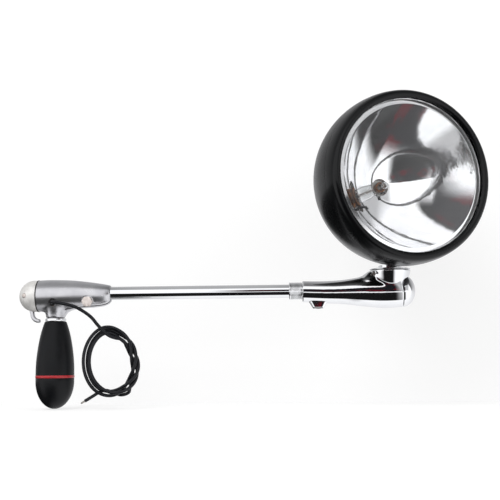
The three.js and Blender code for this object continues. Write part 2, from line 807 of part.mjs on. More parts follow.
// The handle turns as one: gear, rod, ferrule, grip, ring and rounded end
function handlePieces() {
  const rodRadius = rodDiameter / 2;
  const shoulder = -neckDrop - seatGap;
  const rodEnd = endZ - rodInEnd;
  const rod = [
    [0, -gearPitchRadius],
    [driveRadius, -gearPitchRadius],
    [driveRadius, shoulder],
    [rodRadius, shoulder],
    [rodRadius, rodEnd],
    [0, rodEnd],
  ];
  const bore = turnedAlongZ(bar(rodRadius + seatGap, rodEnd - seatGap, 0), smallSides, handleX);
  const swell = gripRadius - gripTopRadius;
  const side = gripShares.map(([out, down]) => [gripTopRadius + out * swell, gripZ - down * gripLength]);
  const grip = turnedAlongZ([[0, gripZ], ...side, [0, gripZ - gripLength]], roundSides, handleX);
  const bandRadius = gripRadius + ringProud;
  const band = [
    [0, ringZ], [gripRadius - ringProud, ringZ], [bandRadius, ringZ - ringHeight / 2],
    [gripRadius - ringProud, ringZ - ringHeight], [0, ringZ - ringHeight],
  ];
  const end = [[0, endZ], [gripRadius, endZ]];
  for (const angle of quarterAngles(domeSteps)) {
    end.push([gripRadius * Math.cos(angle), endZ - endStraight - endLength * Math.sin(angle)]);
  }
  const ferrule = sleeve(rodRadius + seatGap, ferruleRadius, ferruleZ - ferruleHeight, ferruleZ);
  return [
    gearPiece('handle_gear', 0, [Math.PI, 0, 0], handleX),
    piece('handle_rod', turnedAlongZ(rod, smallSides, handleX), finish.steel),
    piece('handle_ferrule', turnedAlongZ(ferrule, roundSides, handleX), finish.chrome),
    piece('handle_grip', grip.subtract(bore), finish.blackGrip),
    piece('handle_ring', turnedAlongZ(band, roundSides, handleX).subtract(bore), finish.redRing),
    piece('handle_end', turnedAlongZ(end, roundSides, handleX).subtract(bore), finish.blackGrip),
  ];
}

// The knurled collar that locks the outer head on the tube
function lockCollar() {
  const end = collarX + collarLength;
  const profile = [
    [boreRadius, collarX],
    [collarRadius - collarChamfer, collarX],
    [collarRadius, collarX + collarChamfer],
    [collarRadius, end - collarChamfer],
    [collarRadius - collarChamfer, end],
    [boreRadius, end],
    [boreRadius, collarX],
  ];
  return piece('lock_collar', turnedAlongX(profile, roundSides), finish.chrome);
}

// Sections of the outer head's barrel: shares of its length, of elbowRadius and of elbowDrop
const elbowBarrelShares = [
  [0, 0.63, 0.43],
  [0.02, 0.643, 0.5],
  [0.175, 0.652, 0.87],
  [0.27, 0.674, 1],
  [0.373, 0.708, 1],
  [0.488, 0.785, 0.93],
  [0.572, 0.857, 0.87],
  [0.676, 0.929, 0.87],
  [0.77, 0.981, 0.87],
  [0.869, 1, 0.77],
  [0.937, 0.988, 0.7],
  [1, 0.95, 0.67],
];

// The saddle that sweeps up to the socket: shares of the barrel's length, of bossHeight and of bossRadius
const saddleShares = [
  [0.3, 0.42, 0.42],
  [0.42, 0.51, 0.5],
  [0.52, 0.59, 0.55],
  [0.6, 0.73, 0.6],
  [0.655, 0.93, 0.64],
  [0.685, 0.995, 0.66],
  [0.86, 0.995, 0.7],
];

// The socket's side: shares of bossRadius and of bossHeight
const bossShares = [
  [0.8, -0.2],
  [0.86, 0.15],
  [0.93, 0.45],
  [0.975, 0.7],
  [1, 0.96],
  [0.985, 1],
];

// The socket as a solid, grown all round by a gap
function socketBlank(gap) {
  const profile = bossShares.map(([radius, height]) => [radius * bossRadius + gap, height * bossHeight]);
  const foot = profile[0][1] - gap;
  const outline = [[0, foot], [profile[0][0], foot], ...profile, [0, bossHeight + gap]];
  return turnedAlongZ(outline, roundSides, postX);
}

// The clamp lug under the outer head: a rounded block that narrows downwards
function clampLug() {
  const middle = elbowX + lugReach;
  const corners = 6;
  const ring = (z, length, width) => {
    const points = [];
    for (const [sx, sy, start] of [[1, 1, 0], [-1, 1, 1], [-1, -1, 2], [1, -1, 3]]) {
      for (let i = 0; i <= corners; i += 1) {
        const angle = (start + i / corners) * (Math.PI / 2);
        points.push(new THREE.Vector3(
          middle + sx * (length / 2 - lugCorner) + lugCorner * Math.cos(angle),
          sy * (width / 2 - lugCorner) + lugCorner * Math.sin(angle),
          z,
        ));
      }
    }
    return points;
  };
  return lofted([
    ring(-lugRootDrop, lugLength + lugSpread, lugRootWidth),
    ring(-lugDrop + lugBevel, lugLength + lugBevel, lugWidth + lugBevel / 2),
    ring(-lugDrop, lugLength, lugWidth),
  ]);
}

// Everything that is cut out of the outer head's casting
function elbowCuts() {
  const tubeEnd = collarX + tubeInsideOuterHead;
  const chamberStart = postX - gearHubReach - elbowCapPlug;
  const gearSpace = gearPitchRadius + gearAddendum + seatGap;
  const lugX = elbowX + lugReach;
  const bossScrew = turnedAlongX(bar(setScrewDiameter / 2 + seatGap, 0, bossRadius + cutOverrun), smallSides);
  return [
    turnedAlongX(bar(boreRadius, elbowX - cutOverrun, tubeEnd + seatGap), roundSides),
    turnedAlongX(bar(driveRadius + 2 * seatGap, tubeEnd - cutOverrun, chamberStart + cutOverrun), smallSides),
    turnedAlongX(bar(elbowChamberRadius, chamberStart, elbowSeamX + cutOverrun), roundSides),
    turnedAlongZ(bar(gearSpace, 0, gearHubReach + seatGap), roundSides, postX),
    turnedAlongZ(bar(postBushRadius + seatGap, gearHubReach, bossHeight + cutOverrun), roundSides, postX),
    turnedAlongZ(bar(setScrewDiameter / 2 + seatGap, -lugDrop - cutOverrun, 0), smallSides, lugX),
    placeBossScrew(bossScrew),
  ];
}

// Sets a solid that lies along +X at the socket's screw hole.
function placeBossScrew(solid) {
  return placed(solid, (geometry) => geometry.rotateZ(bossScrewAngle).translate(postX, 0, bossScrewHeight));
}

// The outer head's casting
function outerHead() {
  const length = elbowSeamX - elbowX;
  const rings = elbowBarrelShares.map(([along, share, drop]) => {
    const radius = share * elbowRadius;
    return ovalRing(elbowX + along * length, radius, radius, -drop * elbowDrop, roundSides);
  });
  const saddle = saddleShares.map(([along, up, wide]) => {
    const top = up * bossHeight;
    const halfHeight = (top + saddleDrop) / 2;
    return ovalRing(elbowX + along * length, wide * bossRadius, halfHeight, top - halfHeight, smallSides);
  });
  let casting = lofted(rings)
    .add(lofted(saddle))
    .add(socketBlank(0))
    .add(clampLug());
  for (const cut of elbowCuts()) casting = casting.subtract(cut);
  return casting;
}

// The domed end cap, with a plug into the gear chamber
function outerHeadCap() {
  const start = elbowSeamX + seatGap;
  const last = elbowBarrelShares[elbowBarrelShares.length - 1];
  const mouth = last[1] * elbowRadius;
  const dome = [[0, start]];
  for (const angle of quarterAngles(roundingSteps)) {
    dome.push([mouth * Math.cos(angle), start + elbowCapReach * Math.sin(angle)]);
  }
  const plugOuter = elbowChamberRadius - seatGap;
  const plug = sleeve(plugOuter - elbowPlugWall, plugOuter, start - elbowCapPlug / 2, start + cutOverrun / 2);
  return turnedAlongX(dome, roundSides, -last[2] * elbowDrop)
    .subtract(socketBlank(seatGap))
    .add(turnedAlongX(plug, roundSides));
}

// A short screw along +X with a socket in its outer end
function grubScrew(from, to) {
  const radius = setScrewDiameter / 2;
  const key = closedSolid(new THREE.CylinderGeometry(radius / 2, radius / 2, radius, 6)
    .rotateZ(Math.PI / 2).translate(to, 0, 0));
  return turnedAlongX(bar(radius, from, to), smallSides).subtract(key);
}

// The outer head with its cap, screws and the bush and washer of the lamp post
function outerHeadPieces() {
  const tubeScrew = placed(grubScrew(0, setScrewLength), (geometry) =>
    geometry.rotateY(Math.PI / 2).translate(elbowX + lugReach, 0, -tubeRadius - seatGap));
  const bossScrewStart = postBushRadius + seatGap;
  const bushScrew = grubScrew(bossScrewStart, bossScrewStart + bossScrewLength);
  const bush = sleeve(studRadius + seatGap, postBushRadius, gearHubReach + 2 * seatGap, bossHeight);
  const washer = sleeve(bossRadius - washerBand, bossRadius, washerZ, washerZ + washerThickness);
  return [
    piece('outer_head', outerHead(), finish.chrome),
    piece('outer_head_cap', outerHeadCap(), finish.chrome),
    piece('tube_set_screw', tubeScrew, finish.steel),
    piece('bush_set_screw', placeBossScrew(bushScrew), finish.steel),
    piece('post_bush', turnedAlongZ(bush, roundSides, postX), finish.bronze),
    piece('post_washer', turnedAlongZ(washer, fineSides, postX), finish.chrome),
  ];
}

// Radius of the bowl's outside, less an inset, at a place along the lamp axis
function bowlRadiusAt(along, inset) {
  const share = (along - bowlCentre) / (bowlDepth - inset);
  return (bowlRadius - inset) * Math.sqrt(Math.max(0, 1 - share * share));
}

// Profile of the bowl's outside, less an inset, from its back pole to a place along the axis
function bowlProfile(inset, to, steps) {
  const depth = bowlDepth - inset;
  const limit = Math.acos((bowlCentre - to) / depth);
  return Array.from({ length: steps + 1 }, (_, i) => {
    const angle = (i / steps) * limit;
    return [(bowlRadius - inset) * Math.sin(angle), bowlCentre - depth * Math.cos(angle)];
  });
}

// The bowl as a solid, for shaping what seats against it
function bowlBlank(inset) {
  const profile = bowlProfile(inset, bowlMouth, bowlSteps);
  return turnedAlongLamp([...profile, [0, bowlMouth]], fineSides);
}

// The lamp's bowl: a thin shell with a stepped mouth and an inward lip
function lampHousing() {
  const outside = bowlProfile(0, bowlMouth, bowlSteps);
  const inside = bowlProfile(bowlWall, bowlMouth - lipDepth, bowlSteps).reverse();
  const throat = stepRadius - bowlWall;
  const shell = turnedAlongLamp([
    ...outside,
    [stepRadius, bowlMouth],
    [stepRadius, lipPlane],
    [lipRadius, lipPlane],
    [lipRadius, lipPlane - lipThickness],
    [throat, lipPlane - lipThickness],
    [throat, bowlMouth - lipDepth / 2],
    ...inside,
  ], fineSides);
  const hole = turnedAlongZ(bar(studThreadRadius + seatGap, 0, lampHeight / 2), smallSides);
  return shell.subtract(hole);
}

// The rim's section: shares of its width outwards from the lip, and of rimDepth forward from its back edge
const rimShares = [
  [1, 0],
  [0.935, 0.35],
  [0.83, 0.68],
  [0.7, 0.87],
  [0.505, 1],
  [0.272, 0.965],
  [0.097, 0.9],
];

// The rim: a rolled bead that follows the bowl's outline and holds the lens by a lip
function lampRim() {
  const back = bowlMouth + seatGap;
  const width = bowlRadiusAt(back, 0) - rimLipRadius;
  const outside = rimShares.map(([out, along]) => [rimLipRadius + out * width, back + along * rimDepth]);
  const profile = [
    ...outside,
    [rimLipRadius, rimLipPlane + rimLipThickness],
    [rimLipRadius, rimLipPlane],
    [lensRadius + seatGap, rimLipPlane],
    [stepRadius + seatGap - bowlStep, rimLipPlane - lensThickness],
    [stepRadius + seatGap, lipPlane],
    [stepRadius + seatGap, back],
    outside[0],
  ];
  return turnedAlongLamp(profile, fineSides);
}

// The lens: a clear disc with a low crown and a bevelled edge
function lens() {
  const seat = rimLipRadius - lensBevel;
  const crown = (plane) => Array.from({ length: lensSteps + 1 }, (_, i) => {
    const share = i / lensSteps;
    return [share * seat, plane + lensCrown * (1 - share ** 2)];
  });
  const front = crown(lensFrontPlane + lensBevel / 3);
  const behind = crown(lensBackPlane).reverse();
  return turnedAlongLamp([
    ...front,
    [rimLipRadius - seatGap, lensFrontPlane],
    [lensRadius, lensFrontPlane],
    [lensRadius, lensBackPlane],
    ...behind,
  ], fineSides);
}

// The reflector: a paraboloid mirror with a flange, open at its vertex for the bulb
function reflector() {
  const span = mirrorRadius - vertexHole;
  const dish = (steps, drop) => Array.from({ length: steps + 1 }, (_, i) => {
    const radius = vertexHole + (i / steps) * span;
    return [radius, mirrorVertex + radius ** 2 / (4 * mirrorFocus) - drop];
  });
  const mirror = dish(mirrorSteps, 0);
  const flangeBack = lipPlane + seatGap;
  const back = dish(mirrorSteps - 1, reflectorThickness).reverse();
  return turnedAlongLamp([
    ...mirror,
    [mirrorRadius + seatGap, flangeBack + reflectorThickness],
    [reflectorFlangeRadius, flangeBack + reflectorThickness],
    [reflectorFlangeRadius, flangeBack],
    [mirrorRadius + reflectorThickness, flangeBack],
    ...back,
    mirror[0],
  ], fineSides);
}

// A spring clip between the lens stack and the rim
function rimClip(middle) {
  const inner = reflectorFlangeRadius + seatGap;
  const outer = inner + clipThickness;
  const steps = 4;
  const ring = (along, radius) => Array.from({ length: steps + 1 }, (_, i) => {
    const angle = middle + (i / steps - 0.5) * clipAngle;
    return new THREE.Vector3(radius * Math.cos(angle), -along, lampHeight + radius * Math.sin(angle));
  });
  const section = (along) => [...ring(along, inner), ...ring(along, outer).reverse()];
  const start = lipPlane + seatGap;
  return lofted([section(start), section(start + clipLength)]);
}

// The lamp's inner wire: shares of the way back to the bulb holder and of lampHeight
const lampWireShares = [
  [0.6, 0.6],
  [1.2, 0.86],
];

// The bulb, its holder and the wire from the post
function bulbPieces() {
  const flangeFront = mirrorVertex - reflectorThickness - seatGap;
  const floor = flangeFront - holderDepth;
  const holderBack = floor - holderFloor;
  const seat = floor - bulbSeatDepth;
  const holder = turnedAlongLamp([
    [holderBore, flangeFront],
    [holderFlange, flangeFront],
    [holderFlange, flangeFront - reflectorThickness],
    [holderRadius, flangeFront - reflectorThickness],
    [holderRadius, holderBack],
    [0, holderBack],
    [0, seat],
    [bulbBaseRadius + seatGap, seat],
    [bulbBaseRadius + seatGap, floor],
    [holderBore, floor],
    [holderBore, flangeFront],
  ], smallSides);
  const baseBack = seat + seatGap;
  const baseFront = baseBack + bulbBaseLength;
  const glassStart = baseFront + seatGap;
  const shoulder = glassStart + bulbLength - bulbRadius;
  const glass = [[0, glassStart], [bulbNeckRadius, glassStart], [bulbRadius, glassStart + bulbRadius]];
  for (const angle of quarterAngles(roundingSteps)) {
    glass.push([bulbRadius * Math.cos(angle), shoulder + bulbRadius * Math.sin(angle)]);
  }
  const back = holderBack - seatGap;
  const route = [
    [0, 0, studTop + seatGap],
    [0, 0, studTop + feedBend * 2],
    ...lampWireShares.map(([behind, up]) => [0, -behind * back, up * lampHeight]),
    [0, -back + feedBend, lampHeight],
    [0, -back, lampHeight],
  ];
  return [
    piece('bulb_holder', holder, finish.steel),
    piece('bulb_base', turnedAlongLamp(bar(bulbBaseRadius, baseBack, baseFront), smallSides), finish.brass),
    piece('bulb_glass', turnedAlongLamp(glass, smallSides), finish.glass),
    piece('lamp_wire', wireAlong(route, feedRadius, innerWireSteps), finish.wire),
  ];
}

// The hollow stud under the bowl, the shaped seats on both sides of its wall, and the nut
function studPieces() {
  const wireBore = turnedAlongZ(bar(driveBore / 2, 0, studTop + cutOverrun), smallSides);
  const journal = [
    [0, gearPitchRadius - gearAddendum],
    [driveRadius, gearPitchRadius - gearAddendum],
    [driveRadius, gearHubReach + seatGap],
    [studRadius, gearHubReach + seatGap],
    [studRadius, saddleZ],
    [saddleRadius, saddleZ],
    [saddleRadius, seatHeight],
    [0, seatHeight],
  ];
  const thread = turnedAlongZ(bar(studThreadRadius, saddleZ, studTop), smallSides);
  const stud = turnedAlongZ(journal, roundSides).subtract(bowlBlank(-seatGap)).add(thread).subtract(wireBore);
  const seatBore = turnedAlongZ(bar(studThreadRadius + seatGap, 0, studTop + cutOverrun), smallSides);
  const seat = turnedAlongZ(bar(saddleRadius, saddleZ, seatHeight), roundSides)
    .intersect(bowlBlank(bowlWall + seatGap))
    .subtract(seatBore);
  const nutRound = studNutAcross / Math.sqrt(3);
  const nutStart = seatHeight + seatGap;
  const nut = closedSolid(new THREE.CylinderGeometry(nutRound, nutRound, studNutHeight, 6)
    .rotateX(Math.PI / 2).translate(0, 0, nutStart + studNutHeight / 2)).subtract(seatBore);
  return [
    piece('lamp_stud', stud, finish.chrome),
    piece('stud_seat', seat, finish.steel),
    piece('stud_nut', nut, finish.steel),
  ];
}

// The lamp, in a group of its own that is turned to where the lamp points at rest
function lamp() {
  const group = new THREE.Group();
  group.position.x = postX;
  group.rotation.z = lampTurn;
  const gasketInner = lensRadius - gasketWidth;
  const gasket = sleeve(gasketInner, lensRadius, gasketPlane, gasketPlane + gasketThickness);
  group.add(
    piece('lamp_housing', lampHousing(), finish.blackPaint),
    piece('lamp_rim', lampRim(), finish.blackPaint),
    piece('lens', lens(), finish.glass),
    piece('lens_gasket', turnedAlongLamp(gasket, fineSides), finish.rubber),
    piece('reflector', reflector(), finish.mirror),
    ...bulbPieces(),
    ...studPieces(),
  );
  for (let i = 0; i < clipCount; i += 1) {
    const angle = ((i + 0.5) / clipCount) * 2 * Math.PI;
    group.add(piece(`rim_clip_${i + 1}`, rimClip(angle), finish.steel));
  }
  return group;
}

// The wire inside: from the switch along the drive tube, round the bend and up through the stud
function feedWire() {
  const start = switchX + switchLength + seatGap;
  const points = [new THREE.Vector3(start, 0, 0), new THREE.Vector3(postX - feedBend, 0, 0)];
  const steps = 6;
  for (let i = 1; i <= steps; i += 1) {
    const angle = (i / steps) * (Math.PI / 2);
    points.push(new THREE.Vector3(
      postX - feedBend + feedBend * Math.sin(angle), 0, feedBend - feedBend * Math.cos(angle),
    ));
  }
  points.push(new THREE.Vector3(postX, 0, studTop));
  return piece('feed_wire', sweptTube(points, feedRadius, wireSides), finish.wire);
}

// Where the wire leaves the inner head, a rubber grommet
function grommet() {
  const face = wireExitY();
  const bore = grommetRadius - 2 * seatGap;
  const profile = [
    [0, face + grommetDepth],
    [bore, face + grommetDepth],
    [bore, face - seatGap],
    [grommetRadius, face - seatGap],
    [grommetLipRadius, face - grommetFlange],
    [0, face - grommetFlange],
  ];
  return piece('wire_grommet', turnedAlongY(profile, smallSides, handleX, -wireExitDrop), finish.rubber);
}

// A share from 0 to 1 eased at both ends.
function eased(share) {
  const held = Math.min(1, Math.max(0, share));
  return held * held * (3 - 2 * held);
}

// A point of the coil after so many degrees: its strand twists round the bundle or lies beside the rest
function coilPoint(turned) {
  const angle = THREE.MathUtils.degToRad(coilStartDegrees - turned);
  const loops = turned / 360;
  const within = turned - 360 * Math.floor(loops);
  const twistAt = (degrees) => {
    const whole = Math.floor((degrees - coilTwistFrom) / 360);
    const along = degrees - coilTwistFrom - 360 * whole;
    return whole + eased(along / (coilTwistTo - coilTwistFrom));
  };
  const phase = coilPhase + loops * (Math.PI / 2) + 2 * Math.PI * (twistAt(turned) - twistAt(0));
  const parting = eased((within - coilPartsAt) / coilBlend);
  const joining = eased((within - coilJoinsAt) / coilBlend);
  const flat = parting * (1 - joining);
  const round = 1 - flat;
  const outwards = round * coilStrandRadius * Math.cos(phase) + flat * coilSpread * (loops - coilMiddleLoop);
  const sway = coilSway * Math.cos((loops - coilSwayLoop) * Math.PI);
  const across = round * coilStrandRadius * Math.sin(phase) + flat * sway;
  const dent = 1 - coilDentShare * Math.exp(-coilDentSharpness * (1 - Math.cos(angle - coilDentAngle)) ** 2);
  return new THREE.Vector3(
    handleX + coilReach + (coilHalfWidth * dent + outwards) * Math.cos(angle),
    -coilForward - across,
    -coilDrop + (coilHalfHeight * dent + outwards) * Math.sin(angle),
  );
}

// Points of the whole coil, with a straight stretch of one wire diameter at each end
function coilPoints() {
  const steps = Math.round((coilTurnDegrees / 360) * coilStepsPerLoop);
  const points = Array.from({ length: steps + 1 }, (_, i) => coilPoint((i / steps) * coilTurnDegrees));
  const first = points[0].clone().sub(points[1]).normalize().multiplyScalar(wireDiameter).add(points[0]);
  const end = points[steps];
  const last = end.clone().sub(points[steps - 1]).normalize().multiplyScalar(wireDiameter).add(end);
  return [first, ...points, last];
}

// The least gap between two stretches of the coil that are more than a few diameters apart along it
function leastCoilGap(points) {
  const fine = new THREE.CatmullRomCurve3(points).getSpacedPoints(points.length * 4);
  const step = fine[0].distanceTo(fine[1]);
  const skip = Math.ceil((wireDiameter * 4) / step);
  let least = Infinity;
  for (let i = 0; i < fine.length; i += 1) {
    for (let k = i + skip; k < fine.length; k += 1) least = Math.min(least, fine[i].distanceTo(fine[k]));
  }
  return least - wireDiameter;
}

// Places of the lead and of the tail, measured along X from the handle's axis
const leadPlaces = [
  [4, -20.4, -9],
  [12.5, -20.6, -10.6],
  [21.5, -19.4, -13],
  [30, -17.8, -17.4],
  [38.5, -16.4, -23.8],
  [44.5, -15.8, -31],
  [50.5, -15.6, -37.4],
  [56, -15.4, -41.6],
  [61.5, -15.2, -43.6],
  [66.2, -14.2, -44.6],
];
const tailPlaces = [
  [65, -1.1, -97.8],
  [57.5, -0.7, -95.6],
  [50, -0.6, -93.4],
  [44, -0.8, -95],
  [38, -2, -98.6],
  [30.3, -3.6, -103.4],
];

// The lead from the grommet to the coil, the tail that leaves it, and its bared end
function loosePieces() {
  const coil = coilPoints();
  console.log(`least gap of the coil to itself: ${leastCoilGap(coil).toFixed(2)} mm`);
  const face = wireExitY() - grommetFlange - seatGap;
  const first = coil[0];
  const intoCoil = first.clone().sub(coil[1]).normalize();
  const lead = [
    [handleX, face, -wireExitDrop],
    [handleX, face - wireDiameter, -wireExitDrop],
    ...leadPlaces.map(([x, y, z]) => [handleX + x, y, z]),
    first.clone().addScaledVector(intoCoil, wireDiameter + seatGap).toArray(),
    first.clone().addScaledVector(intoCoil, seatGap).toArray(),
  ];
  const last = coil[coil.length - 1];
  const outOfCoil = last.clone().sub(coil[coil.length - 2]).normalize();
  const tail = [
    last.clone().addScaledVector(outOfCoil, seatGap).toArray(),
    last.clone().addScaledVector(outOfCoil, wireDiameter + seatGap).toArray(),
    ...tailPlaces.map(([x, y, z]) => [handleX + x, y, z]),
  ];
  const end = new THREE.Vector3(...tail[tail.length - 1]);
  const heading = end.clone().sub(new THREE.Vector3(...tail[tail.length - 2])).normalize();
  const bareStart = end.clone().addScaledVector(heading, seatGap);
  const bare = [bareStart, bareStart.clone().addScaledVector(heading, bareLength)];
  return [
    piece('wire_lead', wireAlong(lead, wireRadius, leadSteps), finish.wire),
    piece('wire_coil', sweptTube(coil, wireRadius, coilSides), finish.wire),
    piece('wire_tail', wireAlong(tail, wireRadius, tailSteps), finish.wire),
    piece('wire_bare_end', sweptTube(bare, bareDiameter / 2, wireSides), finish.steel),
  ];
}

const spotlight = new THREE.Group();
spotlight.name = 'post_mount_spotlight';
spotlight.add(
  ...shaftPieces(),
  ...drivePieces(),
  piece('inner_head', innerHead(), finish.castAlloy),
  ...clampPieces(),
  ...capPieces(),
  handleBush(),
  ...handlePieces(),
  lockCollar(),
  ...outerHeadPieces(),
  gearPiece('lamp_gear', 0, [0, 0, 0], postX),
  lamp(),
  feedWire(),
  grommet(),
  piece('switch_lead', wireAlong(switchLeadRoute(), wireRadius, innerWireSteps), finish.wire),
  ...loosePieces(),
);

export default spotlight;
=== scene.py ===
"""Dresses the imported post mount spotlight: fine surfaces, finishes, a plain studio and the camera."""

import json
import logging
import math
from dataclasses import dataclass
from enum import Enum

import bmesh
import bpy
import numpy as np
from mathutils import Matrix, Vector


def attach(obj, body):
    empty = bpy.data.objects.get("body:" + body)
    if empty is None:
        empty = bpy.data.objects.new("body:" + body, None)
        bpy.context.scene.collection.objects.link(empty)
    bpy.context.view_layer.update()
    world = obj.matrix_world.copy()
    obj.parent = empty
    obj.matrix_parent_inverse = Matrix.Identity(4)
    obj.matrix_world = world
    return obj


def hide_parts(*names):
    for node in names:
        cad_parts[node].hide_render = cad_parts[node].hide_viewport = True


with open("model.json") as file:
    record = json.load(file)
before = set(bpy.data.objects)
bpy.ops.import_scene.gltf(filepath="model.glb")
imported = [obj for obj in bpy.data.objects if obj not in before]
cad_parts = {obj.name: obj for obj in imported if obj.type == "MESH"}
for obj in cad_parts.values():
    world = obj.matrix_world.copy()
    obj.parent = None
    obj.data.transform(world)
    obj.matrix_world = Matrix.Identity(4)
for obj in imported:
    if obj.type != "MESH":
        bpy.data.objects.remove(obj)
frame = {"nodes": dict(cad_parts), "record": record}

log = logging.getLogger("spotlight")
MM = 0.001
# The gap between neighbouring parts, and the grid size on which castings are melted
GAP = 0.3
VOXEL = 0.42
# How far each smoothing pass moves a vertex, and how many passes a fillet gets
EASE = 0.6
FILLET_PASSES = 220
# The angle in degrees past which an edge is drawn sharp
SHARP = 32.0
# Places along the shaft: the handle's and the post's axis, and both ends of the inner head's casting
HANDLE_X = -142.0
POST_X = 182.3
SEAM_X = -158.5
HEAD_END_X = -87.7
# The lamp's middle above the shaft, and how far it looks to the side
LAMP_HEIGHT = 102.62
LAMP_TURN = math.radians(21)
Piece = bpy.types.Object
Tree = bpy.types.NodeTree


class Slot(str, Enum):
    """The record's material slots."""

    CHROME = "chrome"
    CASTING = "cast_alloy"
    CAP = "matt_alloy"
    STEEL = "steel"
    BRONZE = "bronze"
    BRASS = "brass"
    PAINT = "black_paint"
    GRIP = "black_grip"
    RED = "red_ring"
    MIRROR = "mirror"
    GLASS = "glass"
    RUBBER = "rubber"
    WIRE = "wire"
    STRANDS = "bare_wire"
    CASE = "switch_case"


def linear(code: str) -> tuple[float, float, float, float]:
    """Turns an sRGB hex colour to linear.

    Args:
        code: Six hex digits after a hash sign.

    Returns:
        Red, green, blue and an alpha of one.
    """
    parts = np.array([int(code[i:i + 2], 16) for i in (1, 3, 5)]) / 255
    value = np.where(parts <= 0.04045, parts / 12.92, ((parts + 0.055) / 1.055) ** 2.4)
    return (*value.tolist(), 1.0)


def add(tree: Tree, kind: str, settings: dict | None = None, links: dict | None = None) -> bpy.types.Node:
    """Adds a shader node, sets its options and sockets, and links its inputs.

    Args:
        tree: The node tree.
        kind: The node's type name after ShaderNode.
        settings: Values by option name, or by socket name or number.
        links: Output sockets, or nodes for their first output, by the input's name or number.

    Returns:
        The node.
    """
    made = tree.nodes.new("ShaderNode" + kind)
    for key, value in (settings or {}).items():
        if isinstance(key, int) or key in made.inputs:
            made.inputs[key].default_value = value
        else:
            setattr(made, key, value)
    for key, source in (links or {}).items():
        tree.links.new(source.outputs[0] if isinstance(source, bpy.types.Node) else source, made.inputs[key])
    return made


def emptied(owner: bpy.types.Material | bpy.types.World) -> Tree:
    """Gives the node tree of a material or a world, without its first nodes.

    Args:
        owner: The material or world.

    Returns:
        The empty tree.
    """
    owner.use_nodes = True
    owner.node_tree.nodes.clear()
    return owner.node_tree


def shown(name: str, data: bpy.types.ID) -> Piece:
    """Puts an object into the scene.

    Args:
        name: Its name.
        data: Its mesh, curve, camera or light.

    Returns:
        The object.
    """
    made = bpy.data.objects.new(name, data)
    bpy.context.scene.collection.objects.link(made)
    return made


@dataclass(frozen=True)
class Axis:
    """A line that shapes are turned round, in millimetres.

    Attributes:
        origin: A point on it, from which places along it count.
        along: Its direction.
        side: The direction square to it where angles start.
    """

    origin: tuple[float, float, float]
    along: tuple[float, float, float]
    side: tuple[float, float, float]

    def at(self, radius: np.ndarray, place: np.ndarray, angle: np.ndarray) -> np.ndarray:
        """Gives the points at a radius, a place along the axis and an angle round it.

        Args:
            radius: Radii, as a grid.
            place: Places along the axis, as a grid.
            angle: Angles from the side direction, as a grid.

        Returns:
            The points, as a grid of three numbers.
        """
        along, side = np.array(self.along), np.array(self.side)
        other = np.cross(along, side)
        radius, place, angle = (np.asarray(v)[..., None] for v in (radius, place, angle))
        return np.array(self.origin) + place * along + radius * (np.cos(angle) * side + np.sin(angle) * other)


SHAFT = Axis((0, 0, 0), (1, 0, 0), (0, 1, 0))
HANDLE = Axis((HANDLE_X, 0, 0), (0, 0, 1), (1, 0, 0))
POST = Axis((POST_X, 0, 0), (0, 0, 1), (1, 0, 0))
LAMP = Axis(
    (POST_X, 0, LAMP_HEIGHT),
    (math.sin(LAMP_TURN), -math.cos(LAMP_TURN), 0),
    (math.cos(LAMP_TURN), math.sin(LAMP_TURN), 0),
)


def ring(count: int) -> np.ndarray:
    """Gives evenly spaced angles round a circle, the last one short of a full turn."""
    return np.arange(count) * (2 * math.pi / count)


def curve_through(places: np.ndarray, table: np.ndarray | tuple) -> np.ndarray:
    """Reads a table as a natural cubic curve: its second derivatives solve one set of linear equations.

    Args:
        places: Where the curve is read.
        table: Rows of a place and a value, in rising order of place.

    Returns:
        The curve's value at each place.
    """
    x, y = np.array(table, float).T
    h = np.diff(x)
    n = len(x)
    matrix, right = np.eye(n), np.zeros(n)
    rows = np.arange(1, n - 1)
    matrix[rows, rows - 1] = h[:-1]
    matrix[rows, rows] = 2 * (h[:-1] + h[1:])
    matrix[rows, rows + 1] = h[1:]
    right[rows] = 6 * (np.diff(y)[1:] / h[1:] - np.diff(y)[:-1] / h[:-1])
    bend = np.linalg.solve(matrix, right)
    k = np.clip(np.searchsorted(x, places) - 1, 0, n - 2)
    a, b = (x[k + 1] - places) / h[k], (places - x[k]) / h[k]
    return a * y[k] + b * y[k + 1] + ((a ** 3 - a) * bend[k] + (b ** 3 - b) * bend[k + 1]) * h[k] ** 2 / 6


def quarter(radius: float, start: float, height: float, steps: int) -> np.ndarray:
    """Rounds an outline off to its axis: a quarter of an ellipse, by cosine and sine.

    Args:
        radius: The radius where it starts.
        start: The place where it starts.
        height: How far its tip lies beyond that, negative for one that points back.
        steps: How many points it has.

    Returns:
        Pairs of radius and place.
    """
    angle = np.linspace(0, math.pi / 2, steps)
    return np.stack([radius * np.cos(angle), start + height * np.sin(angle)], axis=1)


def rounded_square(angle: np.ndarray, power: float) -> tuple[np.ndarray, np.ndarray]:
    """Gives the superellipse's cosine and sine, each raised to a power with its sign kept."""
    return tuple(np.sign(wave) * np.abs(wave) ** power for wave in (np.cos(angle), np.sin(angle)))


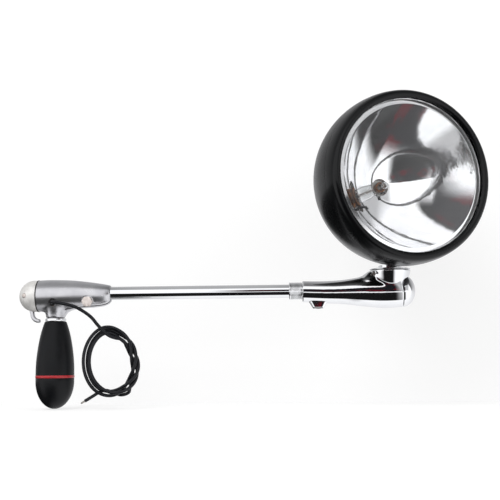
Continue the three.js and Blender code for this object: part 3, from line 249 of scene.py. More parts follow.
def softened(corners: list | tuple, size: float) -> np.ndarray:
    """Rounds the corners of an open outline, each by a quadratic curve that starts and ends a little off it.

    Args:
        corners: Pairs of radius and place.
        size: How far from each corner its curve starts, in millimetres.

    Returns:
        The rounded outline.
    """
    p = np.array(corners, float)
    before, here, after = p[:-2], p[1:-1], p[2:]
    back, on = before - here, after - here
    back_length = np.linalg.norm(back, axis=1, keepdims=True)
    on_length = np.linalg.norm(on, axis=1, keepdims=True)
    start = here + back * np.minimum(size, back_length * 0.45) / back_length
    end = here + on * np.minimum(size, on_length * 0.45) / on_length
    t = np.linspace(0, 1, 6)[None, :, None]
    bends = (1 - t) ** 2 * start[:, None] + 2 * t * (1 - t) * here[:, None] + t ** 2 * end[:, None]
    return np.vstack([p[:1], bends.reshape(-1, 2), p[-1:]])


def surface(name: str, points: np.ndarray, looped: bool = False, sharp: float = SHARP) -> Piece:
    """Makes a closed mesh from a grid of points whose columns run round it.

    Rows that meet in one point become poles. The faces are turned outwards where the volume,
    the sum of every face's corner product, comes out negative.

    Args:
        name: The piece's name.
        points: Rows by columns by three, in millimetres.
        looped: Whether the last row joins the first.
        sharp: The angle in degrees past which an edge is drawn sharp.

    Returns:
        The mesh's object, at the origin.
    """
    rows, columns = points.shape[:2]
    index = np.arange(rows * columns).reshape(rows, columns)
    low = index if looped else index[:-1]
    high = np.roll(index, -1, axis=0) if looped else index[1:]
    faces = np.stack([low, np.roll(low, -1, axis=1), np.roll(high, -1, axis=1), high], axis=-1).reshape(-1, 4)
    flat = points.reshape(-1, 3)
    a, b, c, d = (flat[faces[:, i]] for i in range(4))
    normals = np.cross(b - a, c - a) + np.cross(c - a, d - a)
    if np.einsum("ij,ij->", a - flat.mean(axis=0), normals) < 0:
        faces = faces[:, ::-1]
    mesh = bpy.data.meshes.new(name)
    mesh.vertices.add(len(flat))
    mesh.vertices.foreach_set("co", (flat * MM).ravel().astype(np.float32))
    mesh.loops.add(faces.size)
    mesh.loops.foreach_set("vertex_index", faces.ravel().astype(np.int32))
    mesh.polygons.add(len(faces))
    mesh.polygons.foreach_set("loop_start", np.arange(0, faces.size, 4, dtype=np.int32))
    mesh.update(calc_edges=True)
    work = bmesh.new()
    work.from_mesh(mesh)
    bmesh.ops.remove_doubles(work, verts=work.verts, dist=1e-7)
    work.to_mesh(mesh)
    work.free()
    return finished(name, mesh, sharp)


def capped(name: str, rings: np.ndarray, sharp: float = SHARP) -> Piece:
    """Closes a tube of rings, each end by a fan from its ring's middle.

    Args:
        name: The piece's name.
        rings: Rows by columns by three, in millimetres.
        sharp: The angle in degrees past which an edge is drawn sharp.

    Returns:
        The object.
    """
    tips = np.broadcast_to(rings[[0, -1]].mean(axis=1, keepdims=True), (2, *rings.shape[1:]))
    return surface(name, np.concatenate([tips[:1], rings, tips[1:]]), sharp=sharp)


def finished(name: str, mesh: bpy.types.Mesh, sharp: float = SHARP) -> Piece:
    """Shades a mesh smooth up to an angle and puts its object in the scene.

    Args:
        name: The piece's name.
        mesh: Its mesh, in metres.
        sharp: The angle in degrees past which an edge is drawn sharp.

    Returns:
        The object.
    """
    mesh.polygons.foreach_set("use_smooth", np.ones(len(mesh.polygons), bool))
    mesh.set_sharp_from_angle(angle=math.radians(sharp))
    return shown(name, mesh)


def turned(name: str, outline: np.ndarray, axis: Axis, sides: int, looped: bool = False,
           sharp: float = SHARP) -> Piece:
    """Turns an outline round an axis: every point keeps its radius and place at each angle.

    Args:
        name: The piece's name.
        outline: Pairs of radius and place along the axis.
        axis: The axis.
        sides: How many columns go round.
        looped: Whether the outline's end joins its start.
        sharp: The angle in degrees past which an edge is drawn sharp.

    Returns:
        The object.
    """
    radius, place = np.array(outline, float).T
    angle = ring(sides)
    return surface(name, axis.at(radius[:, None], place[:, None], angle[None, :]), looped, sharp)


def sleeve(name: str, radii: tuple, places: tuple, axis: Axis, sides: int, ease: float = 0.0) -> Piece:
    """Turns a rectangle round an axis.

    Args:
        name: The piece's name.
        radii: The inner and the outer radius.
        places: The start and the end along the axis.
        axis: The axis.
        sides: How many columns go round.
        ease: How far from its corners their rounding starts, none for sharp ones.

    Returns:
        The sleeve.
    """
    (inner, outer), (start, end) = radii, places
    corners = [(inner, start), (outer, start), (outer, end), (inner, end), (inner, start)]
    outline = softened(corners, ease) if ease else np.array(corners[:-1])
    return turned(name, outline, axis, sides, looped=True)


def barrel(span: tuple, share: np.ndarray, table: tuple, size: tuple, sides: int) -> Piece:
    """Makes a head's barrel: rings whose radius and drop follow smooth curves, held before its start.

    Args:
        span: Where it starts and ends along the shaft.
        share: The rings' places as shares of the span.
        table: Rows of a share of the span, of the radius and of the drop.
        size: Its largest radius, and how far its middle drops under the shaft.
        sides: How many columns go round.

    Returns:
        The barrel.
    """
    held = np.maximum(share, 0)
    radius, drop = (curve_through(held, np.array(table)[:, [0, i]]) * size[i - 1] for i in (1, 2))
    place = span[0] + share * (span[1] - span[0])
    rings = SHAFT.at(radius[:, None], place[:, None], ring(sides)[None, :])
    rings[..., 2] -= drop[:, None]
    return capped("barrel", rings)


def joined(name: str, pieces: list[Piece]) -> Piece:
    """Joins meshes into one object.

    Args:
        name: The new piece's name.
        pieces: Objects at the origin, which are used up.

    Returns:
        The object.
    """
    work = bmesh.new()
    for piece in pieces:
        work.from_mesh(piece.data)
        discard(piece)
    mesh = bpy.data.meshes.new(name)
    work.to_mesh(mesh)
    work.free()
    return finished(name, mesh)


def discard(piece: Piece) -> None:
    """Removes a helper object and its mesh."""
    mesh = piece.data
    bpy.data.objects.remove(piece)
    bpy.data.meshes.remove(mesh)


def settled(piece: Piece, sharp: float = SHARP) -> Piece:
    """Makes the result of a piece's modifiers its own mesh.

    Args:
        piece: The object, which is used up.
        sharp: The angle in degrees past which an edge is drawn sharp.

    Returns:
        The new object, under the same name.
    """
    name = piece.name
    graph = bpy.context.evaluated_depsgraph_get()
    mesh = bpy.data.meshes.new_from_object(piece.evaluated_get(graph))
    discard(piece)
    mesh.name = name
    return finished(name, mesh, sharp)


def blended(piece: Piece, passes: int, fillets: tuple) -> Piece:
    """Melts overlapping solids into one skin, eases it all a little, and eases it much round given points.

    Args:
        piece: The joined solids.
        passes: How many smoothing passes the whole skin gets.
        fillets: Places in millimetres, each with the half size of the box round it that is eased to a fillet.

    Returns:
        The new object.
    """
    melt = piece.modifiers.new("melt", "REMESH")
    melt.mode = "VOXEL"
    melt.voxel_size = VOXEL * MM
    piece = settled(piece)
    places = np.empty(len(piece.data.vertices) * 3, np.float32)
    piece.data.vertices.foreach_get("co", places)
    places = places.reshape(-1, 3) / MM
    weight = np.zeros(len(places))
    for centre, half in fillets:
        reach = np.max(np.abs(places - np.array(centre)) / np.array(half), axis=1)
        weight = np.maximum(weight, np.clip((1 - reach) * 3, 0, 1))
    group = piece.vertex_groups.new(name="fillet")
    for step in range(1, 11):
        inside = np.flatnonzero(np.round(weight * 10) == step)
        group.add(inside.tolist(), step / 10, "REPLACE")
    for name, count, which in (("fillet", FILLET_PASSES, "fillet"), ("ease", passes, "")):
        ease = piece.modifiers.new(name, "SMOOTH")
        ease.factor = EASE
        ease.iterations = count
        ease.vertex_group = which
    return settled(piece)


def carved(piece: Piece, cutters: list[Piece], sharp: float = SHARP,
           operation: str = "DIFFERENCE") -> Piece:
    """Cuts helper solids out of a piece, or adds them to it.

    Args:
        piece: The piece.
        cutters: Closed solids, which are used up.
        sharp: The angle in degrees past which an edge is drawn sharp.
        operation: The boolean operation's name.

    Returns:
        The new object.
    """
    for cutter in cutters:
        cut = piece.modifiers.new("cut", "BOOLEAN")
        cut.operation = operation
        cut.solver = "EXACT"
        cut.object = cutter
    made = settled(piece, sharp)
    for cutter in cutters:
        discard(cutter)
    return made


def rod(name: str, radius: float, start: tuple, end: tuple, sides: int = 48) -> Piece:
    """Makes a plain round bar between two points.

    Args:
        name: The helper's name.
        radius: Its radius in millimetres.
        start: One end's middle.
        end: The other end's middle.
        sides: How many columns go round.

    Returns:
        The object.
    """
    line = np.array(end, float) - np.array(start, float)
    length = float(np.linalg.norm(line))
    along = line / length
    side = np.cross(along, (0, 0, 1) if abs(along[2]) < 0.9 else (1, 0, 0))
    axis = Axis(tuple(start), tuple(along), tuple(side / np.linalg.norm(side)))
    return turned(name, np.array([[0, 0], [radius, 0], [radius, length], [0, length]]), axis, sides)


def slab(name: str, outline: np.ndarray, depth: tuple, lean: float = 0.0) -> Piece:
    """Gives an upright outline a thickness along Y: two rings of it, closed by fans.

    Args:
        name: The helper's name.
        outline: Pairs of X and Z.
        depth: The front and the rear face's Y.
        lean: How far the slab is turned about X, in radians.

    Returns:
        The object.
    """
    points = np.array([[[x, y, z] for x, z in outline] for y in depth])
    y, z = points[..., 1].copy(), points[..., 2].copy()
    points[..., 1] = y * math.cos(lean) - z * math.sin(lean)
    points[..., 2] = y * math.sin(lean) + z * math.cos(lean)
    return capped(name, points)


def block(name: str, x: tuple, z: tuple, half: float, lean: float = 0.0) -> Piece:
    """Makes a box to cut with, even about Y and leant like a slab."""
    return slab(name, np.array([[x[0], z[0]], [x[0], z[1]], [x[1], z[1]], [x[1], z[0]]]), (-half, half), lean)


def swept(name: str, path: np.ndarray, half_width: np.ndarray, half_height: np.ndarray, square: float = 2.0,
          up: tuple = (0, 1, 0), sides: int = 16) -> Piece:
    """Carries a rounded section along a path and closes both ends with a point.

    The section is a superellipse, |cos|^(2/n) wide and |sin|^(2/n) high, square to the path.

    Args:
        name: The piece's name.
        path: Points in millimetres.
        half_width: Half the section's size along up, at each point.
        half_height: Half its size across, at each point.
        square: The superellipse's n, two for an ellipse.
        up: The direction that the width keeps to.
        sides: How many columns go round.

    Returns:
        The object.
    """
    tangent = np.gradient(path, axis=0)
    tangent /= np.linalg.norm(tangent, axis=1, keepdims=True)
    wide = np.array(up, float) - tangent * (tangent @ np.array(up, float))[:, None]
    wide /= np.linalg.norm(wide, axis=1, keepdims=True)
    high = np.cross(tangent, wide)
    c, s = rounded_square(ring(sides), 2 / square)
    return capped(name, path[:, None] + (half_width[:, None] * c)[..., None] * wide[:, None]
                  + (half_height[:, None] * s)[..., None] * high[:, None])


def thread(name: str, path: np.ndarray, radius: float) -> Piece:
    """Makes a thin round wire along a path of points in millimetres."""
    size = np.full(len(path), radius)
    return swept(name, path, size, size, up=(0.3, 0.2, 1.0), sides=10)


def smooth_route(points: np.ndarray, spacing: float) -> np.ndarray:
    """Runs a centripetal Catmull-Rom curve through points and reads it at even steps.

    Args:
        points: The route's points in millimetres.
        spacing: The distance between the points that are given back.

    Returns:
        Points along the curve.
    """
    ends = np.vstack([2 * points[:1] - points[1:2], points, 2 * points[-1:] - points[-2:-1]])
    p0, p1, p2, p3 = (ends[i:len(ends) - 3 + i, None] for i in range(4))
    t1 = np.linalg.norm(p1 - p0, axis=2, keepdims=True) ** 0.5
    t2 = t1 + np.linalg.norm(p2 - p1, axis=2, keepdims=True) ** 0.5
    t3 = t2 + np.linalg.norm(p3 - p2, axis=2, keepdims=True) ** 0.5
    t = t1 + (t2 - t1) * np.linspace(0, 1, 24, endpoint=False)[None, :, None]
    a1 = (t1 - t) / t1 * p0 + t / t1 * p1
    a2 = (t2 - t) / (t2 - t1) * p1 + (t - t1) / (t2 - t1) * p2
    a3 = (t3 - t) / (t3 - t2) * p2 + (t - t2) / (t3 - t2) * p3
    b1 = (t2 - t) / t2 * a1 + t / t2 * a2
    b2 = (t3 - t) / (t3 - t1) * a2 + (t - t1) / (t3 - t1) * a3
    fine = np.vstack([((t2 - t) / (t2 - t1) * b1 + (t - t1) / (t2 - t1) * b2).reshape(-1, 3), points[-1:]])
    length = np.concatenate([[0], np.cumsum(np.linalg.norm(np.diff(fine, axis=0), axis=1))])
    even = np.linspace(0, length[-1], int(length[-1] / spacing) + 1)
    return np.stack([np.interp(even, length, fine[:, i]) for i in range(3)], axis=1)


@dataclass(frozen=True)
class Finish:
    """A surface's make: colour, gloss, and grain as noise whose size is a real one.

    Attributes:
        name: The material's plain name.
        colour: Its colour as sRGB hex.
        second: The colour it wanders to in patches.
        patch: The patches' size in millimetres.
        wander: How far the colour wanders, from none at 0 to fully at 1.
        metallic: One for bare metal.
        rough: The mean roughness.
        rough_range: How far the roughness wanders either way.
        grain: The grain's size in millimetres.
        bump: The grain's depth in millimetres.
        coat: The clear coat's weight.
        coat_rough: The clear coat's roughness.
        glass: How much light goes through.
        ior: The index of refraction of what is no metal.
    """

    name: str
    colour: str
    second: str
    patch: float = 4.0
    wander: float = 0.5
    metallic: float = 0.0
    rough: float = 0.5
    rough_range: float = 0.06
    grain: float = 0.5
    bump: float = 0.004
    coat: float = 0.0
    coat_rough: float = 0.1
    glass: float = 0.0
    ior: float = 1.5

    def material(self) -> bpy.types.Material:
        """Builds the material: noise in patches for colour and gloss, fine noise for the bump.

        Returns:
            The material.
        """
        made = bpy.data.materials.new(self.name)
        tree = emptied(made)
        place = {"Vector": add(tree, "TexCoord").outputs["Object"]}
        blotch = {"Scale": 1 / (self.patch * MM), "Detail": 4.0, "Roughness": 0.6}
        patches = add(tree, "TexNoise", blotch, place)
        grain = add(tree, "TexNoise", {"Scale": 1 / (self.grain * MM), "Detail": 3.0}, place)
        reach = {"From Min": 0.35, "From Max": 0.7, "To Max": self.wander}
        amount = add(tree, "MapRange", reach, {"Value": patches})
        pair = {6: linear(self.colour), 7: linear(self.second)}
        colour = add(tree, "Mix", {"data_type": "RGBA", **pair}, {0: amount})
        dull = {"To Min": max(0.0, self.rough - self.rough_range), "To Max": self.rough + self.rough_range}
        rough = add(tree, "MapRange", {"From Min": 0.3, "From Max": 0.7, **dull}, {"Value": patches})
        bump = add(tree, "Bump", {"Strength": 1.0, "Distance": self.bump * MM}, {"Height": grain})
        make = {"Metallic": self.metallic, "Coat Weight": self.coat, "Coat Roughness": self.coat_rough,
                "Transmission Weight": self.glass, "IOR": self.ior}
        inputs = {"Base Color": colour.outputs[2], "Roughness": rough, "Normal": bump}
        add(tree, "OutputMaterial", {}, {"Surface": add(tree, "BsdfPrincipled", make, inputs)})
        return made


FINISHES = {
    # Chrome over nickel: almost a mirror, with a faint haze from handling
    Slot.CHROME: Finish(
        "chrome_plate", "#e4e5e6", "#d6d7d9", patch=14, wander=0.35, metallic=1.0, rough=0.05,
        rough_range=0.015, grain=1.4, bump=0.0003,
    ),
    # Die-cast alloy, buffed but not plated: blurred reflections
    Slot.CASTING: Finish(
        "buffed_casting", "#c8c8ca", "#b4b4b8", patch=14, wander=0.6, metallic=0.95, rough=0.31,
        rough_range=0.05, grain=5.0, bump=0.003,
    ),
    # The same alloy as cast and tumbled: a dull sandy face
    Slot.CAP: Finish("tumbled_casting", "#eae9e6", "#d8d5d1", wander=0.55, metallic=0.55, bump=0.02),
    # Plain turned steel, faintly warm
    Slot.STEEL: Finish("turned_steel", "#dcd3cd", "#bdb2ab", patch=3, metallic=0.85, rough=0.4, grain=0.35),
    # Sintered bronze of the bushes: dull and brown
    Slot.BRONZE: Finish(
        "bearing_bronze", "#9c7446", "#7c5933", metallic=1.0, rough=0.42, grain=0.4, bump=0.01,
    ),
    # Lacquered brass gone brown at the bulb's heat
    Slot.BRASS: Finish(
        "browned_brass", "#93623a", "#5f3b22", patch=2.5, wander=0.6, metallic=1.0, rough=0.35,
        rough_range=0.08, grain=0.3, bump=0.006,
    ),
    # Stoved black enamel: satin gloss with a trace of orange peel
    Slot.PAINT: Finish(
        "black_enamel", "#060708", "#0b0c0e", patch=20, rough=0.28, rough_range=0.03, grain=2.2, coat=0.15,
        coat_rough=0.08, ior=1.26,
    ),
    # Moulded black plastic, rubbed to a satin
    Slot.GRIP: Finish(
        "black_moulding", "#08090b", "#0e1014", patch=9, wander=0.6, rough=0.4, rough_range=0.05, ior=1.28,
    ),
    # Red celluloid band: a flat bright colour
    Slot.RED: Finish("red_celluloid", "#b2232a", "#8c181f", rough=0.33, rough_range=0.05),
    # Silvered reflector: a clean mirror whose face waves a little
    Slot.MIRROR: Finish(
        "silvered_mirror", "#fbfbfb", "#f0f0f3", patch=16, wander=0.6, metallic=0.975, rough=0.05,
        rough_range=0.03, grain=17.0, bump=0.09,
    ),
    # Pressed soda glass: clear, with a sharp gleam
    Slot.GLASS: Finish(
        "clear_glass", "#ffffff", "#f6faf9", patch=30, rough=0.0, rough_range=0.0, grain=6.0, bump=0.0003,
        glass=1.0,
    ),
    # Moulded rubber, dull black
    Slot.RUBBER: Finish(
        "moulded_rubber", "#131212", "#1d1b1a", patch=2, rough=0.7, rough_range=0.08, grain=0.4, bump=0.02,
    ),
    # Vinyl insulation: satin black with a cool sheen
    Slot.WIRE: Finish(
        "vinyl_insulation", "#0d0e12", "#15171d", patch=5, wander=0.6, rough=0.36, bump=0.006, ior=1.36,
    ),
    # Tinned copper strands: thin, bright and a little brown
    Slot.STRANDS: Finish(
        "tinned_copper", "#a9a7a4", "#7d6a55", patch=1, metallic=1.0, rough=0.3, grain=0.2, bump=0.006,
    ),
    # Phenolic switch case: dark brown
    Slot.CASE: Finish(
        "phenolic_case", "#2b2622", "#211c19", patch=3, rough_range=0.05, grain=0.4, bump=0.006,
    ),
}


class Palette:
    """Builds each finish once and gives it to the pieces and to the frame's own nodes."""

    def __init__(self) -> None:
        """Builds the materials."""
        self.materials = {slot: finish.material() for slot, finish in FINISHES.items()}

    def place(self, piece: Piece, body: str, slot: Slot, *nodes: str) -> None:
        """Gives a piece its finish and its body, and hides the nodes that it stands for.

        Args:
            piece: The piece.
            body: The body that it rides on.
            slot: Its material slot.
            *nodes: The nodes that it replaces.
        """
        piece.data.materials.clear()
        piece.data.materials.append(self.materials[slot])
        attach(piece, body)
        if nodes:
            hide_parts(*nodes)
        log.info("%s rides on %s", piece.name, body)

    def dress(self, nodes: dict, record: dict) -> None:
        """Gives every node of the frame the finish of its slot.

        Args:
            nodes: The frame's objects by name.
            record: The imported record.
        """
        for row in record["subparts"]:
            node = nodes[row["node"]]
            for slot in node.material_slots:
                slot.material = self.materials[Slot(row["material_slot"])]


@dataclass
class FreeWire:
    """The spare wire: a lead, a coil of just over three loops, and a tail with bared strands.

    Attributes:
        diameter: The wire's diameter.
        exit_y: Where the wire leaves the grommet, along Y.
        exit_drop: How far under the shaft axis it leaves.
        lead: Hand-chosen places from the handle's axis, before the coil.
        tail: The same after the coil.
        start: The coil's first angle in degrees.
        turn: How far it winds, in degrees.
        per_loop: How many points a loop has.
        centre: The coil's middle, along X from the handle's axis, Y and Z.
        half: Half its width and height.
        strand: How far each strand lies from the middle of the twisted bundle.
        phase: Where round that middle the first one starts, in degrees.
        twist: The degrees of a loop between which the bundle twists once round.
        flat_between: The degrees of a loop between which the strands lie in a row instead.
        blend: How many degrees the change between bundle and row takes.
        spread: The step from strand to strand in the row.
        middle_loop: Which loop lies in the row's middle.
        sway: How far the row's strands lie in front of or behind each other.
        sway_loop: Which loop lies furthest in front.
        dent: The flattened upper right: its depth as a share, its sharpness and its angle in degrees.
        spacing: The distance between the finished route's points.
        bare_length: The bared strands' length.
        bare_radius: Their bundle's radius.
    """

    diameter: float = 3.2
    exit_y: float = -15.57
    exit_drop: float = 8.7
    lead: tuple = (
        (0.9, -17.9, -8.7), (3.4, -20.2, -8.9), (7, -21.1, -9.5), (12.5, -20.8, -10.8), (21.5, -19.4, -13),
        (30, -17.8, -17.4), (38.5, -16.4, -23.8), (44.5, -15.8, -31), (50.5, -15.6, -37.4),
        (56, -15.4, -41.6), (61.5, -15.2, -43.6), (66.2, -14.2, -44.6),
    )
    tail: tuple = (
        (65, -1.1, -97.8), (57.5, -0.7, -95.6), (50, -0.6, -93.4), (44, -0.8, -95), (38, -2, -98.6),
        (30.3, -3.6, -103.4),
    )
    start: float = 32.0
    turn: float = 1157.0
    per_loop: int = 24
    centre: tuple = (56.95, -8.0, -66.0)
    half: tuple = (23.85, 30.6)
    strand: float = 3.1
    phase: float = 160.0
    twist: tuple = (-50.0, 140.0)
    flat_between: tuple = (120.0, 300.0)
    blend: float = 45.0
    spread: float = 2.9
    middle_loop: float = 1.45
    sway: float = 1.9
    sway_loop: float = 0.6
    dent: tuple = (0.13, 8.0, 45.0)
    spacing: float = 1.1
    bare_length: float = 4.0
    bare_radius: float = 0.95

    def coil(self) -> np.ndarray:
        """Works out the coil's points.

        The strand goes round an ellipse with a dent. Off it, by turns, it either circles the bundle's
        middle, a quarter turn further with each loop, or lies in a row with the other loops.

        Returns:
            Points with a straight stretch of one diameter at each end.
        """
        def eased(share: np.ndarray) -> np.ndarray:
            """Eases a share from 0 to 1 at both ends."""
            held = np.clip(share, 0, 1)
            return held * held * (3 - 2 * held)

        def twists(degrees: np.ndarray) -> np.ndarray:
            """Counts the bundle's twists up to a place."""
            whole = np.floor((degrees - self.twist[0]) / 360)
            return whole + eased((degrees - self.twist[0] - 360 * whole) / (self.twist[1] - self.twist[0]))

        turned_by = np.linspace(0, self.turn, round(self.turn / 360 * self.per_loop) + 1)
        angle = np.radians(self.start - turned_by)
        loops = turned_by / 360
        within = turned_by - 360 * np.floor(loops)
        twisted = 2 * math.pi * (twists(turned_by) - twists(np.zeros(1)))
        phase = math.radians(self.phase) + loops * math.pi / 2 + twisted
        begun, ended = (eased((within - limit) / self.blend) for limit in self.flat_between)
        flat = begun * (1 - ended)
        outwards = (1 - flat) * self.strand * np.cos(phase) + flat * self.spread * (loops - self.middle_loop)
        sway = self.sway * np.cos((loops - self.sway_loop) * math.pi)
        across = (1 - flat) * self.strand * np.sin(phase) + flat * sway
        share, keen, at = self.dent
        dent = 1 - share * np.exp(-keen * (1 - np.cos(angle - math.radians(at))) ** 2)
        x = HANDLE_X + self.centre[0] + (self.half[0] * dent + outwards) * np.cos(angle)
        z = self.centre[2] + (self.half[1] * dent + outwards) * np.sin(angle)
        points = np.stack([x, self.centre[1] - across, z], axis=1)
        before, after = points[0] - points[1], points[-1] - points[-2]
        first = points[0] + before / np.linalg.norm(before) * self.diameter
        last = points[-1] + after / np.linalg.norm(after) * self.diameter
        return np.vstack([first, points, last])

    def route(self) -> np.ndarray:
        """Strings lead, coil and tail together, from just inside the grommet.

        Returns:
            The whole wire's points.
        """
        coil = self.coil()
        offset = np.array([HANDLE_X, 0, 0])
        into = (coil[0] - coil[1]) / np.linalg.norm(coil[0] - coil[1])
        out = (coil[-1] - coil[-2]) / np.linalg.norm(coil[-1] - coil[-2])
        inside = np.array([[HANDLE_X, self.exit_y + depth, -self.exit_drop] for depth in (3.5, 1)])
        return np.vstack([
            inside, np.array(self.lead) + offset, coil[0] + into * (self.diameter + GAP), coil,
            coil[-1] + out * (self.diameter + GAP), np.array(self.tail) + offset,
        ])

    def build(self, palette: Palette) -> None:
        """Makes the wire as one round curve, and its bared strands.

        Args:
            palette: The finishes.
        """
        points = smooth_route(self.route(), self.spacing)
        data = bpy.data.curves.new("free_wire", "CURVE")
        data.dimensions = "3D"
        data.bevel_depth = self.diameter / 2 * MM
        data.bevel_resolution = 5
        data.use_fill_caps = True
        spline = data.splines.new("POLY")
        spline.points.add(len(points) - 1)
        flat = np.hstack([points * MM, np.ones((len(points), 1))])
        spline.points.foreach_set("co", flat.ravel().astype(np.float32))
        spline.use_smooth = True
        wire = shown("free_wire", data)
        palette.place(wire, "arm", Slot.WIRE, "wire_lead", "wire_coil", "wire_tail")
        strands = self.strands(points)
        palette.place(strands, "arm", Slot.STRANDS, "wire_bare_end")

    def strands(self, points: np.ndarray) -> Piece:
        """Makes the bared end: a bundle whose radius waves seven times round, twists along it and tapers.

        Args:
            points: The wire's points.

        Returns:
            The bundle.
        """
        heading = points[-1] - points[-3]
        heading /= np.linalg.norm(heading)
        side = np.cross(heading, (0, 1, 0))
        axis = Axis(tuple(points[-1]), tuple(heading), tuple(side / np.linalg.norm(side)))
        place = np.linspace(-1, self.bare_length + GAP, 40)[:, None]
        angle = ring(84)[None, :]
        lobes = 0.86 + 0.14 * np.abs(np.cos(3.5 * (angle - place * 0.9)))
        taper = 1 - 0.35 * np.maximum(place - self.bare_length + 0.8, 0)
        return capped("bared_strands", axis.at(self.bare_radius * lobes * taper, place, angle), sharp=60)


@dataclass
class Shaft:
    """The chromed tube and the ridged collar at its outer end.

    Attributes:
        radius: The tube's radius.
        bore: Its bore's radius.
        ends: Where it starts inside the inner head and ends inside the outer one.
        collar: The collar's start and end along the shaft.
        collar_radius: The collar's radius.
        ridge: The distance between its ridges, and half their height.
        cross: The slanting grooves: their number round, their lean per millimetre, and half their depth.
        edge: How deep and how wide its two edges are rounded.
        plain: How wide the plain stretch at each edge is, and over what width the ridges rise from it.
    """

    radius: float = 6.35
    bore: float = 4.85
    ends: tuple = (-120.7, 128.3)
    collar: tuple = (85.3, 97.7)
    collar_radius: float = 8.3
    ridge: tuple = (1.15, 0.12)
    cross: tuple = (36, 2.4, 0.04)
    edge: tuple = (0.55, 0.7)
    plain: tuple = (0.9, 0.5)

    def build(self, palette: Palette) -> None:
        """Makes the tube and the collar.

        Args:
            palette: The finishes.
        """
        tube = sleeve("tube", (self.bore, self.radius), self.ends, SHAFT, 96)
        palette.place(tube, "arm", Slot.CHROME, "shaft_tube")
        palette.place(self.knurled(), "arm", Slot.CHROME, "lock_collar")

    def knurled(self) -> Piece:
        """Makes the collar: its radius dips in grooves round it, and in two slanting sets that cross.

        Returns:
            The collar.
        """
        first, last = self.collar
        place = np.linspace(first, last, 150)[:, None]
        angle = ring(216)[None, :]
        inwards = np.minimum(place - first, last - place)
        deep, wide = self.edge
        rounding = deep * np.clip(1 - inwards / wide, 0, 1) ** 2
        step, height = self.ridge
        count, lean, depth = self.cross
        stretch, rise = self.plain
        ridges = height * (1 - np.cos(2 * math.pi * (place - first) / step))
        slants = np.cos(count * angle + lean * place) * np.cos(count * angle - lean * place)
        cut = np.clip((inwards - stretch) / rise, 0, 1)
        radius = self.collar_radius - rounding - cut * (ridges + depth * (1 - slants))
        inner = SHAFT.at(np.full((2, 216), self.radius + GAP), np.array([[last], [first]]), angle)
        return surface("ridged_collar", np.concatenate([SHAFT.at(radius, place, angle), inner]), True, 50)


